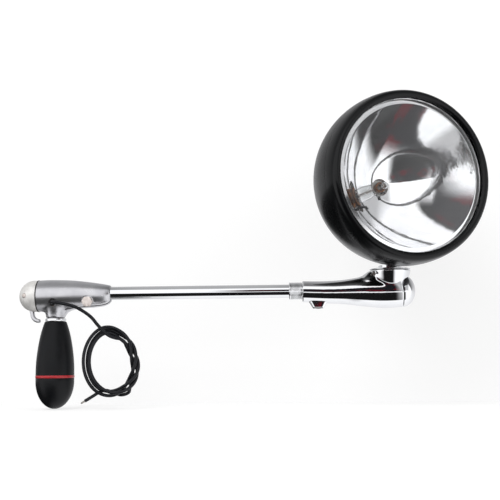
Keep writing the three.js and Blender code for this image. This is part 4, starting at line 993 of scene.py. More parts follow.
@dataclass
class InnerHead:
    """The inner head: casting, clamp bolt, domed cap with its screws, and the grommet.

    Attributes:
        radius: The barrel's largest radius.
        drop: How far its middle drops under the shaft.
        barrel: Shares of the length, of the radius and of the drop.
        neck: Pairs of radius and height of the neck.
        web: The web's underside: X and Z of its foot, of its bend and of its end.
        web_half: Half the web's width.
        fillets: Middles and half sizes of the boxes in which the skin is eased to fillets.
        passes: How many smoothing passes the whole casting gets.
        slit: The clamp's slit: where it starts, half its width, and its lean in degrees.
        hole: The wire hole's radius and height.
        tube_bore: The tube's bore: its radius, and where it starts.
        handle_bore: The handle's bore: its radius and its top.
        bolt: The clamp bolt's X and Z.
        hexagon: Half its head's width across flats, and the head's height.
        chamfer: Shares of the flats' half width, each with its depth under the head's top.
        flats_end: How far under its top the flats end.
        seat: Where the bolt's seats lie, along Y.
        seat_radius: The seats' radius.
        shank: The bolt's radius, where head and nut meet on it, and its end.
        dome: The cap's radius, and the X of its middle.
        skirt: How far back the skirt's edge is rounded, and how deep its bevel is.
        trigger_slot: The cap's slot: its two ends along X, its top, and half its width.
        cap_screw: The cap screws' radius, and the angle in degrees that they stand at from the shaft.
        screw_stem: The stem's radius, and how deep it goes under the dome.
        screw_head: How far the head's edge sinks in and stands out, and how far its middle rises.
        driver_slot: The slot's half width, half depth and place above the dome, and its turn in radians.
        seam_shade_ring: The dark ring's inner radius, how far it stands proud, and its reach to cap and
            casting; the ring is painted shade for the seam's shadow line.
        grommet_y: Where the grommet's foot lies, along Y.
        roll: The rolled lip's mean radius, half its thickness, its middle's place and half its length.
        wander: The lip's waves: their number round, their height as a share, and their phase.
        wander_along: How much more the lip's length wanders than its thickness.
    """

    radius: float = 15.4
    drop: float = 2.0
    barrel: tuple = (
        (0, 0.994, 1), (0.14, 1, 0.85), (0.25, 0.987, 0.8), (0.47, 0.922, 0.6), (0.67, 0.828, 0.65),
        (0.76, 0.786, 0.75), (0.88, 0.714, 0.85), (0.93, 0.666, 0.8), (0.97, 0.6, 0.6), (1, 0.52, 0.25),
    )
    neck: tuple = (
        (0, -23.6), (9.4, -23.6), (9.4, -21), (9.96, -18.4), (11.28, -15.3), (12.2, -11.8), (12.2, -4.7),
        (0, -4.7),
    )
    web: tuple = ((-132.6, -21.24), (-131.1, -16.17), (-117.6, -14.33))
    web_half: float = 5.0
    fillets: tuple = (((HANDLE_X, 0, -14), (22, 14, 5)), ((-126, 0, -13), (12, 8, 5)))
    passes: int = 50
    slit: tuple = (-131.7, 0.8, -22)
    hole: tuple = (3.9, -8.7)
    tube_bore: tuple = (6.55, -122)
    handle_bore: tuple = (7.3, -11.5)
    bolt: tuple = (-108.9, -8.4)
    hexagon: tuple = (4.6, 3.2)
    chamfer: tuple = ((1.12, 0.3), (1.06, 0.06), (1.02, 0))
    flats_end: float = 0.5
    seat: float = 9.4
    seat_radius: float = 6.0
    shank: tuple = (1.7, 8, 15.1)
    dome: tuple = (15.3, -162.5)
    skirt: tuple = (0.9, 0.25)
    trigger_slot: tuple = (-173.8, -150, -4, 3.05)
    cap_screw: tuple = (2.3, 119)
    screw_stem: tuple = (1.5, 3.3)
    screw_head: tuple = (0.1, 0.15, 0.95)
    driver_slot: tuple = (0.6, 0.32, 1.2, 0.7)
    seam_shade_ring: tuple = (13, 0.15, 0.4, 0.3)
    grommet_y: float = -13.87
    roll: tuple = (2.75, 0.85, 0.45, 0.9)
    wander: tuple = ((3, 0.07, 1), (7, 0.05, 0), (13, 0.03, 2))
    wander_along: float = 2.4

    def build(self, palette: Palette) -> None:
        """Makes the head's pieces.

        Args:
            palette: The finishes.
        """
        palette.place(self.casting(), "arm", Slot.CASTING, "inner_head")
        palette.place(self.bolt_piece("clamp_bolt_fine", -1), "arm", Slot.STEEL, "clamp_bolt")
        palette.place(self.bolt_piece("clamp_nut_fine", 1), "arm", Slot.STEEL, "clamp_nut")
        palette.place(self.cap(), "arm", Slot.CAP, "inner_head_cap")
        for side, node in ((-1, "cap_screw_front"), (1, "cap_screw_rear")):
            palette.place(self.screw(node + "_fine", side), "arm", Slot.STEEL, node)
        palette.place(self.grommet(), "arm", Slot.RUBBER, "wire_grommet")
        # A dark ring in the seam between cap and casting: painted shade for the seam's shadow line.
        palette.place(self.seam_shade(), "arm", Slot.RUBBER)

    def casting(self) -> Piece:
        """Melts barrel, neck and web into one skin, then cuts the slit, the bolt's seats and the bores.

        Returns:
            The casting.
        """
        share = np.linspace(-0.06, 1, 116)
        body = barrel((SEAM_X, HEAD_END_X), share, self.barrel, (self.radius, self.drop), 128)
        neck = turned("neck", softened(self.neck, 1.2), HANDLE, 96)
        t = np.linspace(0, 1, 24)[:, None]
        foot, bend, end = (np.array(p) for p in self.web)
        sweep = (1 - t) ** 2 * foot + 2 * t * (1 - t) * bend + t ** 2 * end
        outline = np.vstack([[HANDLE_X, foot[1]], sweep, [end[0], 0], [HANDLE_X, 0]])
        web = slab("web", outline, (-self.web_half, self.web_half))
        whole = blended(joined("head_casting", [body, neck, web]), self.passes, self.fillets)
        start, half, lean = self.slit
        x, z = self.bolt
        radius, height = self.hole
        bore, top = self.handle_bore
        cutters = [
            rod("face", 25, (SEAM_X - 12, 0, 0), (SEAM_X, 0, 0), 96),
            block("slit", (start, -80), (0, -40), half, math.radians(lean)),
            *[rod("seat", self.seat_radius, (x, side * self.seat, z), (x, side * 30, z)) for side in (-1, 1)],
            rod("hole", radius, (HANDLE_X, -30, height), (HANDLE_X, -6, height)),
            rod("tube_bore", self.tube_bore[0], (self.tube_bore[1], 0, 0), (-80, 0, 0), 96),
            rod("handle_bore", bore, (HANDLE_X, 0, -30), (HANDLE_X, 0, top), 64),
        ]
        return carved(whole, cutters, 28)

    def bolt_piece(self, name: str, side: int) -> Piece:
        """Makes the bolt's head or its nut: six flats whose corners a shallow cone cuts off.

        Args:
            name: The piece's name.
            side: Minus one for the bolt in front, one for the nut behind.

        Returns:
            The piece, with its stretch of the shank.
        """
        x, z = self.bolt
        flat, height = self.hexagon
        start = self.seat + GAP
        top = start + height
        angle = ring(144)
        flats = flat / np.cos((angle % (math.pi / 3)) - math.pi / 6)
        rows = [(flats, start), (flats, top - self.flats_end)]
        rows += [(np.minimum(flats, flat * share), top - under) for share, under in self.chamfer]
        axis = Axis((x, 0, z), (0, side, 0), (1, 0, 0))
        rings = np.stack([axis.at(radius, np.full(144, place), angle) for radius, place in rows])
        head = capped(name, rings, 20)
        radius, meeting, end = self.shank
        first, last = (-start, meeting) if side < 0 else (meeting, end)
        return joined(name, [head, rod("shank", radius, (x, first, z), (x, last, z))])

    def cap(self) -> Piece:
        """Makes the dome: a half round beyond a short skirt, with the trigger's slot cut in.

        Returns:
            The cap.
        """
        radius, middle = self.dome
        mouth = SEAM_X - GAP
        back, bevel = self.skirt
        skirt = [[0, mouth], [radius - back, mouth], [radius - bevel, mouth - bevel], [radius, mouth - back]]
        cap = turned("domed_cap", np.vstack([skirt, quarter(radius, middle, -radius, 48)]), self.axis(), 128)
        left, right, top, half = self.trigger_slot
        return carved(cap, [block("slot", (left, right), (top, -40), half)], 28)

    def axis(self) -> Axis:
        """Gives the cap's axis, which lies as low as the barrel's start."""
        return Axis((0, 0, -self.drop), (1, 0, 0), (0, 1, 0))

    def screw(self, name: str, side: int) -> Piece:
        """Makes a cap screw: a low domed head with a driver's slot.

        Args:
            name: The piece's name.
            side: Minus one in front, one behind.

        Returns:
            The screw.
        """
        seat, middle = self.dome
        radius, degrees = self.cap_screw
        turn = side * math.radians(degrees)
        along = (math.cos(turn), math.sin(turn), 0)
        axis = Axis((middle, 0, -self.drop), along, (0, 0, 1))
        thin, deep = self.screw_stem
        sunk, proud, rise = self.screw_head
        stem = [[0, seat - deep], [thin, seat - deep], [thin, seat - sunk], [radius, seat - sunk]]
        screw = turned(name, np.vstack([stem, quarter(radius, seat + proud, rise, 10)]), axis, 48)
        half_width, half_depth, above, lean = self.driver_slot
        top = np.array(axis.origin) + np.array(along) * (seat + above)
        wide = np.cross(along, (0, 0, 1)) * math.cos(lean) + np.array([0, 0, 1]) * math.sin(lean)
        path = top + np.linspace(-3, 3, 4)[:, None] * wide
        slot = swept("driver_slot", path, np.full(4, half_width), np.full(4, half_depth), 8, along)
        return carved(screw, [slot], 25)

    def seam_shade(self) -> Piece:
        """Makes a thin dark ring that stands a little proud between cap and casting: painted shade for the
        seam's shadow line.
        """
        inner, proud, to_cap, to_casting = self.seam_shade_ring
        edges = (SEAM_X - GAP - to_cap, SEAM_X + to_casting)
        return sleeve("cap_seam_shade", (inner, self.dome[0] + proud), edges, self.axis(), 128)

    def grommet(self) -> Piece:
        """Makes the grommet: a rolled lip whose radius wanders, as on perished rubber.

        Returns:
            The grommet.
        """
        axis = Axis((HANDLE_X, self.grommet_y, self.hole[1]), (0, -1, 0), (1, 0, 0))
        angle = ring(72)
        wander = sum(height * np.sin(waves * angle + phase) for waves, height, phase in self.wander)
        t = ring(24)[:, None]
        mean, thick, middle, long = self.roll
        radius = mean + thick * np.cos(t) * (1 + wander)
        place = middle + long * np.sin(t) * (1 + self.wander_along * wander)
        return surface("perished_grommet", axis.at(radius, place, angle[None, :]), looped=True)


@dataclass
class Trigger:
    """The hooked trigger under the cap.

    Attributes:
        pivot: Its pin's X and Z.
        hook: The hook's middle, X and Z.
        bend: The radius of the hook's middle line.
        sweep: The angles in degrees between which the hook bends.
        width: Its size along Y.
        thick: Its size across.
        square: The superellipse's n of its section.
        eye: The eye's inner and outer radius.
    """

    pivot: tuple = (-167.2, -10.0)
    hook: tuple = (-158.3, -19.6)
    bend: float = 6.5
    sweep: tuple = (180, 283)
    width: float = 5.5
    thick: float = 3.8
    square: float = 3.6
    eye: tuple = (1.8, 3.1)

    def build(self, palette: Palette) -> None:
        """Makes the trigger: a strip from the pin's eye and round an arc, with a rounded end.

        Args:
            palette: The finishes.
        """
        angle = np.radians(np.linspace(*self.sweep, 30))
        arc = np.array(self.hook) + self.bend * np.stack([np.cos(angle), np.sin(angle)], axis=1)
        line = np.vstack([np.linspace(self.pivot, arc[0], 12, endpoint=False), arc])
        path = np.insert(line, 1, 0, axis=1)
        left = np.linspace(1, 0, len(path))
        end = np.sqrt(np.clip(1 - (1 - np.clip(left * len(path) / 4, 0, 1)) ** 2, 0.02, 1))
        strip = swept("finger_hook", path, self.width / 2 * end, self.thick / 2 * end, self.square, sides=40)
        axis = Axis((self.pivot[0], 0, self.pivot[1]), (0, 1, 0), (1, 0, 0))
        eye = sleeve("eye", self.eye, (-self.width / 2, self.width / 2), axis, 48, 0.3)
        palette.place(joined("finger_hook_fine", [strip, eye]), "trigger", Slot.CASTING, "trigger")


@dataclass
class Handle:
    """The drop-shaped handle with its ferrule and red band.

    Attributes:
        ferrule: The ferrule's radii and its foot and top.
        grip: The grip's top and foot.
        radii: The grip's radius at its top and at its foot.
        swell: Shares of the grip's length and of its swell.
        top_edge: The grip's eased top: how far in it starts, and how far in and down it lies halfway.
        band: The band's top and foot, and how far it bulges.
        reach: The band's length with what its neighbours hide, as a share of what shows.
        end: The end's top, straight run and rounded length.
        end_edge: How far in and how far down the end's eased top goes.
    """

    ferrule: tuple = ((4.3, 10.0), (-26.7, -23.9))
    grip: tuple = (-27.0, -78.6)
    radii: tuple = (10.4, 18.4)
    swell: tuple = ((0, 0), (0.13, 0.28), (0.26, 0.5), (0.4, 0.68), (0.58, 0.85), (0.78, 0.97), (1, 1))
    top_edge: tuple = (0.5, 0.12, 0.15)
    band: tuple = (-78.9, -80.9, 0.3)
    reach: float = 1.25
    end: tuple = (-81.2, 3.0, 26.5)
    end_edge: tuple = (0.15, 0.25)

    def build(self, palette: Palette) -> None:
        """Makes the handle's pieces.

        Args:
            palette: The finishes.
        """
        ferrule = sleeve("bright_ferrule", *self.ferrule, HANDLE, 96, 0.55)
        palette.place(ferrule, "handle", Slot.CHROME, "handle_ferrule")
        (narrow, wide), (top, foot) = self.radii, self.grip
        share = np.linspace(0, 1, 60)
        swell = narrow + curve_through(share, self.swell) * (wide - narrow)
        side = np.stack([swell, top + share * (foot - top)], axis=1)
        start, inwards, down = self.top_edge
        edge = [[0, top], [narrow - start, top], [narrow - inwards, top - down]]
        grip = turned("grip", np.vstack([edge, side[1:], [[0, foot]]]), HANDLE, 128)
        palette.place(grip, "handle", Slot.GRIP, "handle_grip")
        high, low, bulge = self.band
        t = np.linspace(-1, 1, 14)
        place = (high + low) / 2 - t * (high - low) / 2 * self.reach
        band = np.stack([wide + bulge * (1 - t ** 2), place], axis=1)
        band = turned("red_band", np.vstack([[0, band[0, 1]], band, [0, band[-1, 1]]]), HANDLE, 128)
        palette.place(band, "handle", Slot.RED, "handle_ring")
        start, straight, length = self.end
        inwards, down = self.end_edge
        lip = [[0, start], [wide - inwards, start], [wide, start - down]]
        outline = np.vstack([lip, quarter(wide, start - straight, -length, 48)])
        palette.place(turned("rounded_end", outline, HANDLE, 128), "handle", Slot.GRIP, "handle_end")


@dataclass
class OuterHead:
    """The outer head: casting, domed cap, and the washer under the lamp.

    Attributes:
        start: Where the barrel starts.
        seam: Where its cap starts.
        radius: Its largest radius.
        drop: How far its middle drops under the shaft.
        barrel: Shares of the length, of the radius and of the drop.
        saddle: Shares of the length, of the socket's height and of its radius.
        saddle_foot: How far under the shaft's axis the saddle's ovals reach.
        socket: Pairs of radius and height.
        fillets: Middles and half sizes of the boxes in which the skin is eased to fillets.
        passes: How many smoothing passes the whole casting gets.
        lug_x: The lug's middle along the shaft.
        lug: Rows of height, length and width.
        lug_power: The power of the lug's rounded outline.
        tube_bore: The tube's bore: its radius, and where it ends.
        post_bore: The post's bore: its radius and its floor.
        gear_room: The radius of the room for the gears, and its floor and top.
        screw: The screw holes' radius.
        screw_hole: The socket's screw hole: its height, and its angle round the post in degrees.
        cap_length: How far the cap bulges.
        cap_drop: How far its middle drops under the shaft.
        cap_edge: Its eased edge: how far in it starts, and how far in and along it lies halfway.
        washer: The washer's radii and places.
    """

    start: float = 98.0
    seam: float = 193.8
    radius: float = 16.1
    drop: float = 1.5
    barrel: tuple = (
        (0, 0.635, 0.43), (0.175, 0.652, 0.87), (0.27, 0.674, 1), (0.373, 0.708, 1), (0.488, 0.785, 0.93),
        (0.572, 0.857, 0.87), (0.676, 0.929, 0.87), (0.77, 0.981, 0.87), (0.869, 1, 0.77),
        (0.937, 0.988, 0.7), (1, 0.95, 0.67),
    )
    saddle: tuple = (
        (0.3, 0.42, 0.42), (0.42, 0.51, 0.5), (0.52, 0.59, 0.55), (0.6, 0.73, 0.6), (0.655, 0.93, 0.64),
        (0.685, 0.995, 0.66), (0.86, 0.995, 0.7),
    )
    saddle_foot: float = 6.0
    socket: tuple = (
        (0, -3.76), (14.2, -3.76), (14.6, 2.8), (16.2, 7.5), (18.0, 12.2), (19.3, 16.6), (19.6, 18.05),
        (19.31, 18.8), (0, 18.8),
    )
    fillets: tuple = (((POST_X, 0, 6.5), (24, 24, 9)),)
    passes: int = 16
    lug_x: float = 113.2
    lug: tuple = ((-5, 25, 9.8), (-15.8, 12.0, 9.8), (-16.4, 11.2, 9.8), (-17.1, 10.4, 9.2))
    lug_power: float = 0.3
    tube_bore: tuple = (6.6, 128.6)
    post_bore: tuple = (8.9, 11.5)
    gear_room: tuple = (7.5, -9, 12)
    screw: float = 2.4
    screw_hole: tuple = (14.9, 212)
    cap_length: float = 11.8
    cap_drop: float = 1.0
    cap_edge: tuple = (0.25, 0.06, 0.08)
    washer: tuple = ((6.6, 19.6), (19.1, 20.1))

    def build(self, palette: Palette) -> None:
        """Makes the head's pieces.

        Args:
            palette: The finishes.
        """
        palette.place(self.casting(), "arm", Slot.CHROME, "outer_head")
        palette.place(self.cap(), "arm", Slot.CHROME, "outer_head_cap")
        palette.place(sleeve("washer", *self.washer, POST, 128, 0.3), "arm", Slot.CHROME, "post_washer")

    def casting(self) -> Piece:
        """Melts barrel, saddle and socket into one skin, adds the lug, then cuts the bores and screw holes.

        Returns:
            The casting.
        """
        share = np.linspace(0, 1, 140)
        body = barrel((self.start, self.seam), share, self.barrel, (self.radius, self.drop), 144)
        socket = turned("socket", np.array(self.socket), POST, 96)
        whole = joined("elbow_casting", [body, self.saddle_block(), socket])
        whole = blended(whole, self.passes, self.fillets)
        whole = carved(whole, [self.lug_block()], 30, "UNION")
        height, degrees = self.screw_hole
        way = np.array([math.cos(math.radians(degrees)), math.sin(math.radians(degrees)), 0])
        root = np.array([POST_X, 0, height])
        holes = [
            rod("screw_hole", self.screw, tuple(root + way * 10), tuple(root + way * 26)),
            rod("lug_hole", self.screw, (self.lug_x, 0, -40), (self.lug_x, 0, -12)),
            rod("tube_bore", self.tube_bore[0], (90, 0, 0), (self.tube_bore[1], 0, 0), 96),
            rod("post_bore", self.post_bore[0], (POST_X, 0, self.post_bore[1]), (POST_X, 0, 30), 96),
            rod("gear_room", self.gear_room[0], *((POST_X, 0, z) for z in self.gear_room[1:]), 96),
        ]
        return carved(whole, holes, 30)

    def saddle_block(self) -> Piece:
        """Makes the saddle between barrel and socket: ovals whose tops rise and whose feet stay inside.

        Returns:
            The saddle.
        """
        socket_radius, socket_height = np.max(self.socket, axis=0)
        share, up, wide = np.array(self.saddle).T
        at = np.linspace(share[0], share[-1], 50)
        top = np.interp(at, share, up) * socket_height
        half_width = np.interp(at, share, wide) * socket_radius
        half_height = (top + self.saddle_foot) / 2
        angle = ring(72)
        x = np.repeat((self.start + at * (self.seam - self.start))[:, None], 72, axis=1)
        z = (top - half_height)[:, None] + half_height[:, None] * np.sin(angle)
        return capped("saddle", np.stack([x, half_width[:, None] * np.cos(angle), z], axis=-1))

    def lug_block(self) -> Piece:
        """Makes the lug: rounded rectangles that shrink downwards.

        Returns:
            The lug.
        """
        c, s = rounded_square(ring(72), self.lug_power)
        rows = [np.stack([self.lug_x + c * a / 2, s * b / 2, np.full(72, z)], axis=1) for z, a, b in self.lug]
        return capped("lug", np.stack(rows))

    def cap(self) -> Piece:
        """Makes the domed end: a quarter ellipse, hollowed where the socket stands.

        Returns:
            The cap.
        """
        mouth, first = self.barrel[-1][1] * self.radius, self.seam + GAP
        start, inwards, along = self.cap_edge
        lip = [[0, first], [mouth - start, first], [mouth - inwards, first + along]]
        outline = np.vstack([lip, quarter(mouth, first, self.cap_length, 40)[1:]])
        cap = turned("elbow_cap", outline, Axis((0, 0, -self.cap_drop), (1, 0, 0), (0, 1, 0)), 128)
        grown = np.array(self.socket) + GAP * np.array([[0, -1], [1, -1], *[[1, 0]] * 6, [0, 1]])
        return carved(cap, [turned("room", grown, POST, 96)], 30)


@dataclass
class Bulb:
    """The bulb in its cup: outlines, as pairs of radius and place along the lamp's axis, and fine parts.

    Attributes:
        cup: The steel cup behind the reflector.
        collar: The brass collar in it.
        seat: The seat disc's radii and places.
        skirt: The brass skirt round the capsule's foot.
        capsule: The capsule up to where its tip starts.
        tip: The tip's place, and its outer and inner radius.
        hollow: Where the capsule's hollow starts.
        pinch: The glass foot that grips the posts.
        filament: The winding's radius, start, length and turns, and its wire's radius.
        posts: How far the posts stand off the axis, their foot, their radius, and where they bend.
        wire: Rows of radius, place and angle in degrees along the short wire.
        wire_radius: Its radius.
    """

    cup: tuple = (
        (8.4, -21), (13, -21), (13, -22.2), (10.4, -22.2), (10.4, -38.5), (0, -38.5), (0, -36.3),
        (4.8, -36.3), (4.8, -33.5), (8.4, -33.5), (8.4, -21),
    )
    collar: tuple = (
        (0, -36), (4.5, -36), (4.5, -33), (4.1, -32.6), (4.1, -31.2), (4.5, -30.8), (4.5, -30), (0, -30),
    )
    seat: tuple = ((3.7, 8.1), (-24.4, -22.4))
    skirt: tuple = ((3.7, -22.0), (5.2, -22.0), (5.2, -17.6), (4.8, -16.8), (3.7, -16.8), (3.7, -22.0))
    capsule: tuple = ((0, -29.7), (2.6, -29.7), (2.9, -28.5), (3.4, -26.3))
    tip: tuple = (-7.1, 3.4, 2.8)
    hollow: float = -22.0
    pinch: tuple = ((0, -26.5), (2.2, -26.5), (2.2, -21.6), (1.4, -19.5), (0, -19.5))
    filament: tuple = (0.7, -15.0, 5.0, 9, 0.11)
    posts: tuple = (1.1, -31.0, 0.22, -17.0)
    wire: tuple = (
        (6.2, -21.4, -68), (6.0, -19.5, -70), (6.0, -16.0, -72), (6.6, -13.0, -70), (7.6, -12.5, -66),
    )
    wire_radius: float = 0.75

    def build(self, palette: Palette) -> None:
        """Makes the bulb's pieces.

        Args:
            palette: The finishes.
        """
        rows = [
            (turned("bulb_cup", softened(self.cup, 0.25), LAMP, 96), Slot.STEEL, "bulb_holder"),
            (turned("bulb_collar", softened(self.collar, 0.25), LAMP, 64), Slot.BRASS, "bulb_base"),
            (self.glass(), Slot.GLASS, "bulb_glass"),
            (turned("bulb_pinch", softened(self.pinch, 0.4), LAMP, 48), Slot.CAP),
            (sleeve("bulb_seat", *self.seat, LAMP, 64, 0.3), Slot.CAP),
            (turned("bulb_skirt", softened(self.skirt, 0.3), LAMP, 64, looped=True), Slot.BRASS),
            *[(piece, Slot.STEEL) for piece in self.fine_parts()],
            (self.short_wire(), Slot.WIRE),
        ]
        for piece, *finish in rows:
            palette.place(piece, "lamp", *finish)

    def glass(self) -> Piece:
        """Makes the capsule: a closed tube with a round tip, and a hollow that follows it.

        Returns:
            The capsule.
        """
        place, outer, inner = self.tip
        hollow = [*quarter(inner, place, inner, 20)[::-1], (inner, self.hollow), (0, self.hollow)]
        outline = np.vstack([self.capsule, quarter(outer, place, outer, 20), hollow])
        return turned("bulb_capsule", outline, LAMP, 64)

    def fine_parts(self) -> list[Piece]:
        """Makes the filament's winding and the two posts that bend in to its ends.

        Returns:
            The pieces.
        """
        radius, start, length, turns, thick = self.filament
        post_radius, foot, post_thick, bend = self.posts
        share = np.linspace(0, 1, 160)
        winding = LAMP.at(np.full(160, radius), start + length * share, 2 * math.pi * turns * share)
        parts = [thread("filament", winding, thick)]
        for letter, turn, place in (("a", 0.0, start), ("b", math.pi, start + length)):
            path = LAMP.at(np.array([post_radius, post_radius, radius]), np.array([foot, bend, place]), turn)
            parts.append(thread("filament_post_" + letter, smooth_route(path, 0.5), post_thick))
        return parts

    def short_wire(self) -> Piece:
        """Makes the short black wire that stands beside the bulb.

        Returns:
            The wire.
        """
        radius, place, degrees = np.array(self.wire).T
        path = smooth_route(LAMP.at(radius, place, np.radians(degrees)), 0.6)
        return thread("bulb_wire", path, self.wire_radius)


@dataclass
class Lamp:
    """The lamp: bowl, rim, lens, reflector, bulb and the post under it.

    Attributes:
        bowl: The bowl's radius, depth and the place of its widest ring.
        wall: Its thickness.
        mouth: Where the rim starts, and where the bowl's inside ends.
        post_hole: The radius of the hole for the post.
        step: Pairs of radius and place along the bowl's stepped mouth.
        rim: The same along the rim's outside.
        rim_inside: The same along its inside.
        lens: The lens's radius, its back plane and its front plane.
        lens_edge: The radius where its bulge ends, and how far that stands above the front plane.
        groove: Pairs of radius and place above the front plane along its ground edge.
        crown: How far the lens bulges.
        mirror: The reflector's radius, vertex and rim plane.
        mirror_wall: Its thickness.
        hole: The radius of the hole at the vertex.
        flange: Pairs of radius and place along the reflector's flange.
        lip: The same along the bright ring in front of it.
        stud: Pairs of radius and height of the post.
        stem: The radius of the stem in it, its foot and its top.
    """

    bowl: tuple = (82.3, 88.0, 30.0)
    wall: float = 1.8
    mouth: tuple = (38.0, 31.4)
    post_hole: float = 5.2
    step: tuple = ((79.96, 38), (79.96, 45.3), (73.36, 45.3), (73.36, 44), (78.16, 44), (78.16, 34.7))
    rim: tuple = (
        (81.93, 38.3), (81.75, 41), (81.3, 44.25), (80.3, 49.6), (79.0, 52.7), (77.1, 54.6), (75.3, 54.9),
        (73.6, 54.2), (72.5, 53.2), (72.16, 52.5),
    )
    rim_inside: tuple = ((72.16, 52.1), (75.26, 52.1), (78.2, 48.9), (80.26, 45.3), (80.26, 38.3))
    lens: tuple = (74.96, 48.6, 51.8)
    lens_edge: tuple = (69.6, 0.9)
    groove: tuple = ((71.6, -0.5), (72.4, -0.7), (73.4, 0), (74.96, -0.3))
    crown: float = 2.6
    mirror: tuple = (70.76, -19.5, 46.5)
    mirror_wall: float = 1.2
    hole: float = 8.6
    flange: tuple = ((71.1, 46.8), (75.76, 46.8), (75.76, 45.6), (71.96, 45.6))
    lip: tuple = ((67.2, 47.2), (67.2, 47.9), (70.6, 46.95), (70.6, 46.75), (67.2, 47.2))
    stud: tuple = (
        (0, 7), (3.2, 7), (3.2, 11.8), (6.1, 11.8), (6.1, 20.4), (10.7, 20.4), (11, 20.8), (11, 23.2),
        (0, 23.2),
    )
    stem: tuple = (4.9, 20, 37.5)

    def build(self, palette: Palette) -> None:
        """Makes the lamp's pieces.

        Args:
            palette: The finishes.
        """
        palette.place(self.shell(), "lamp", Slot.PAINT, "lamp_housing")
        rim = turned("rolled_rim", np.array(self.rim + self.rim_inside), LAMP, 192, looped=True, sharp=40)
        palette.place(rim, "lamp", Slot.PAINT, "lamp_rim")
        palette.place(self.lens_disc(), "lamp", Slot.GLASS, "lens")
        palette.place(self.reflector(), "lamp", Slot.MIRROR, "reflector")
        lip = turned("mirror_lip", softened(self.lip, 0.08), LAMP, 192, looped=True)
        palette.place(lip, "lamp", Slot.MIRROR)
        Bulb().build(palette)
        palette.place(self.post(), "lamp", Slot.CHROME, "lamp_stud")

    def shell(self) -> Piece:
        """Makes the bowl: half an ellipse outside and inside, with a stepped mouth and a hole for the post.

        Returns:
            The bowl.
        """
        radius, depth, centre = self.bowl
        inner_radius, inner_depth = radius - self.wall, depth - self.wall
        out = np.linspace(0, math.acos((centre - self.mouth[0]) / depth), 72)
        back = np.linspace(math.acos((centre - self.mouth[1]) / inner_depth), 0, 48)
        outside = np.stack([radius * np.sin(out), centre - depth * np.cos(out)], axis=1)
        inside = np.stack([inner_radius * np.sin(back), centre - inner_depth * np.cos(back)], axis=1)
        shell = turned("bowl", np.vstack([outside, self.step, inside]), LAMP, 192)
        return carved(shell, [rod("post_hole", self.post_hole, (POST_X, 0, 10), (POST_X, 0, 40))])

    def lens_disc(self) -> Piece:
        """Makes the lens: faces that bulge as one less the share of the radius squared, and a ground edge.

        Returns:
            The lens.
        """
        radius, back, front = self.lens
        seat, lift = self.lens_edge
        share = np.linspace(0, 1, 26)[:, None]
        bulge = self.crown * (1 - share ** 2)
        face, behind = (np.hstack([share * seat, plane + bulge]) for plane in (front + lift, back))
        edge = [*np.array(self.groove) + [0, front], [radius, back]]
        return turned("clear_lens", np.vstack([face, edge, behind[::-1]]), LAMP, 160, sharp=50)

    def reflector(self) -> Piece:
        """Makes the reflector: a paraboloid, its place rising with the square of the radius, and a thin back.

        Returns:
            The reflector.
        """
        radius, vertex, rim = self.mirror
        rise = (rim - vertex) / radius ** 2
        out = np.linspace(self.hole, radius, 90)
        front = np.stack([out, vertex + rise * out ** 2], axis=1)
        back = (front - [0, self.mirror_wall])[::-3]
        return turned("dish", np.vstack([front, self.flange, back]), LAMP, 192, looped=True, sharp=40)

    def post(self) -> Piece:
        """Makes the post under the bowl: a collar whose top follows the bowl, and the stem in it.

        Returns:
            The post.
        """
        collar = turned("lamp_post", np.array(self.stud), POST, 96)
        radius, depth, centre = self.bowl
        t = np.linspace(0, math.pi / 2, 90)
        bowl = np.stack([(radius + GAP) * np.sin(t), centre - (depth + GAP) * np.cos(t)], axis=1)
        collar = carved(collar, [turned("blank", np.vstack([bowl, [[0, centre]]]), LAMP, 256)], 30)
        stem, foot, top = self.stem
        return joined("lamp_post", [collar, rod("stem", stem, (POST_X, 0, foot), (POST_X, 0, top))])


@dataclass(frozen=True)
class Card:
    """A card, wall or window far off, which only metal and glass mirror.

    Attributes:
        low: Its lower edge in degrees of the angle round X, from the front upwards.
        high: Its upper edge.
        left: Its left end as a share of the direction's X.
        right: Its right end.
        grey: Its brightness.
        dense: How far it covers what lies behind it.
        soft: Half the width over which its ends fade.
    """

    low: float
    high: float
    left: float
    right: float
    grey: float
    dense: float = 1.0
    soft: float = 0.06


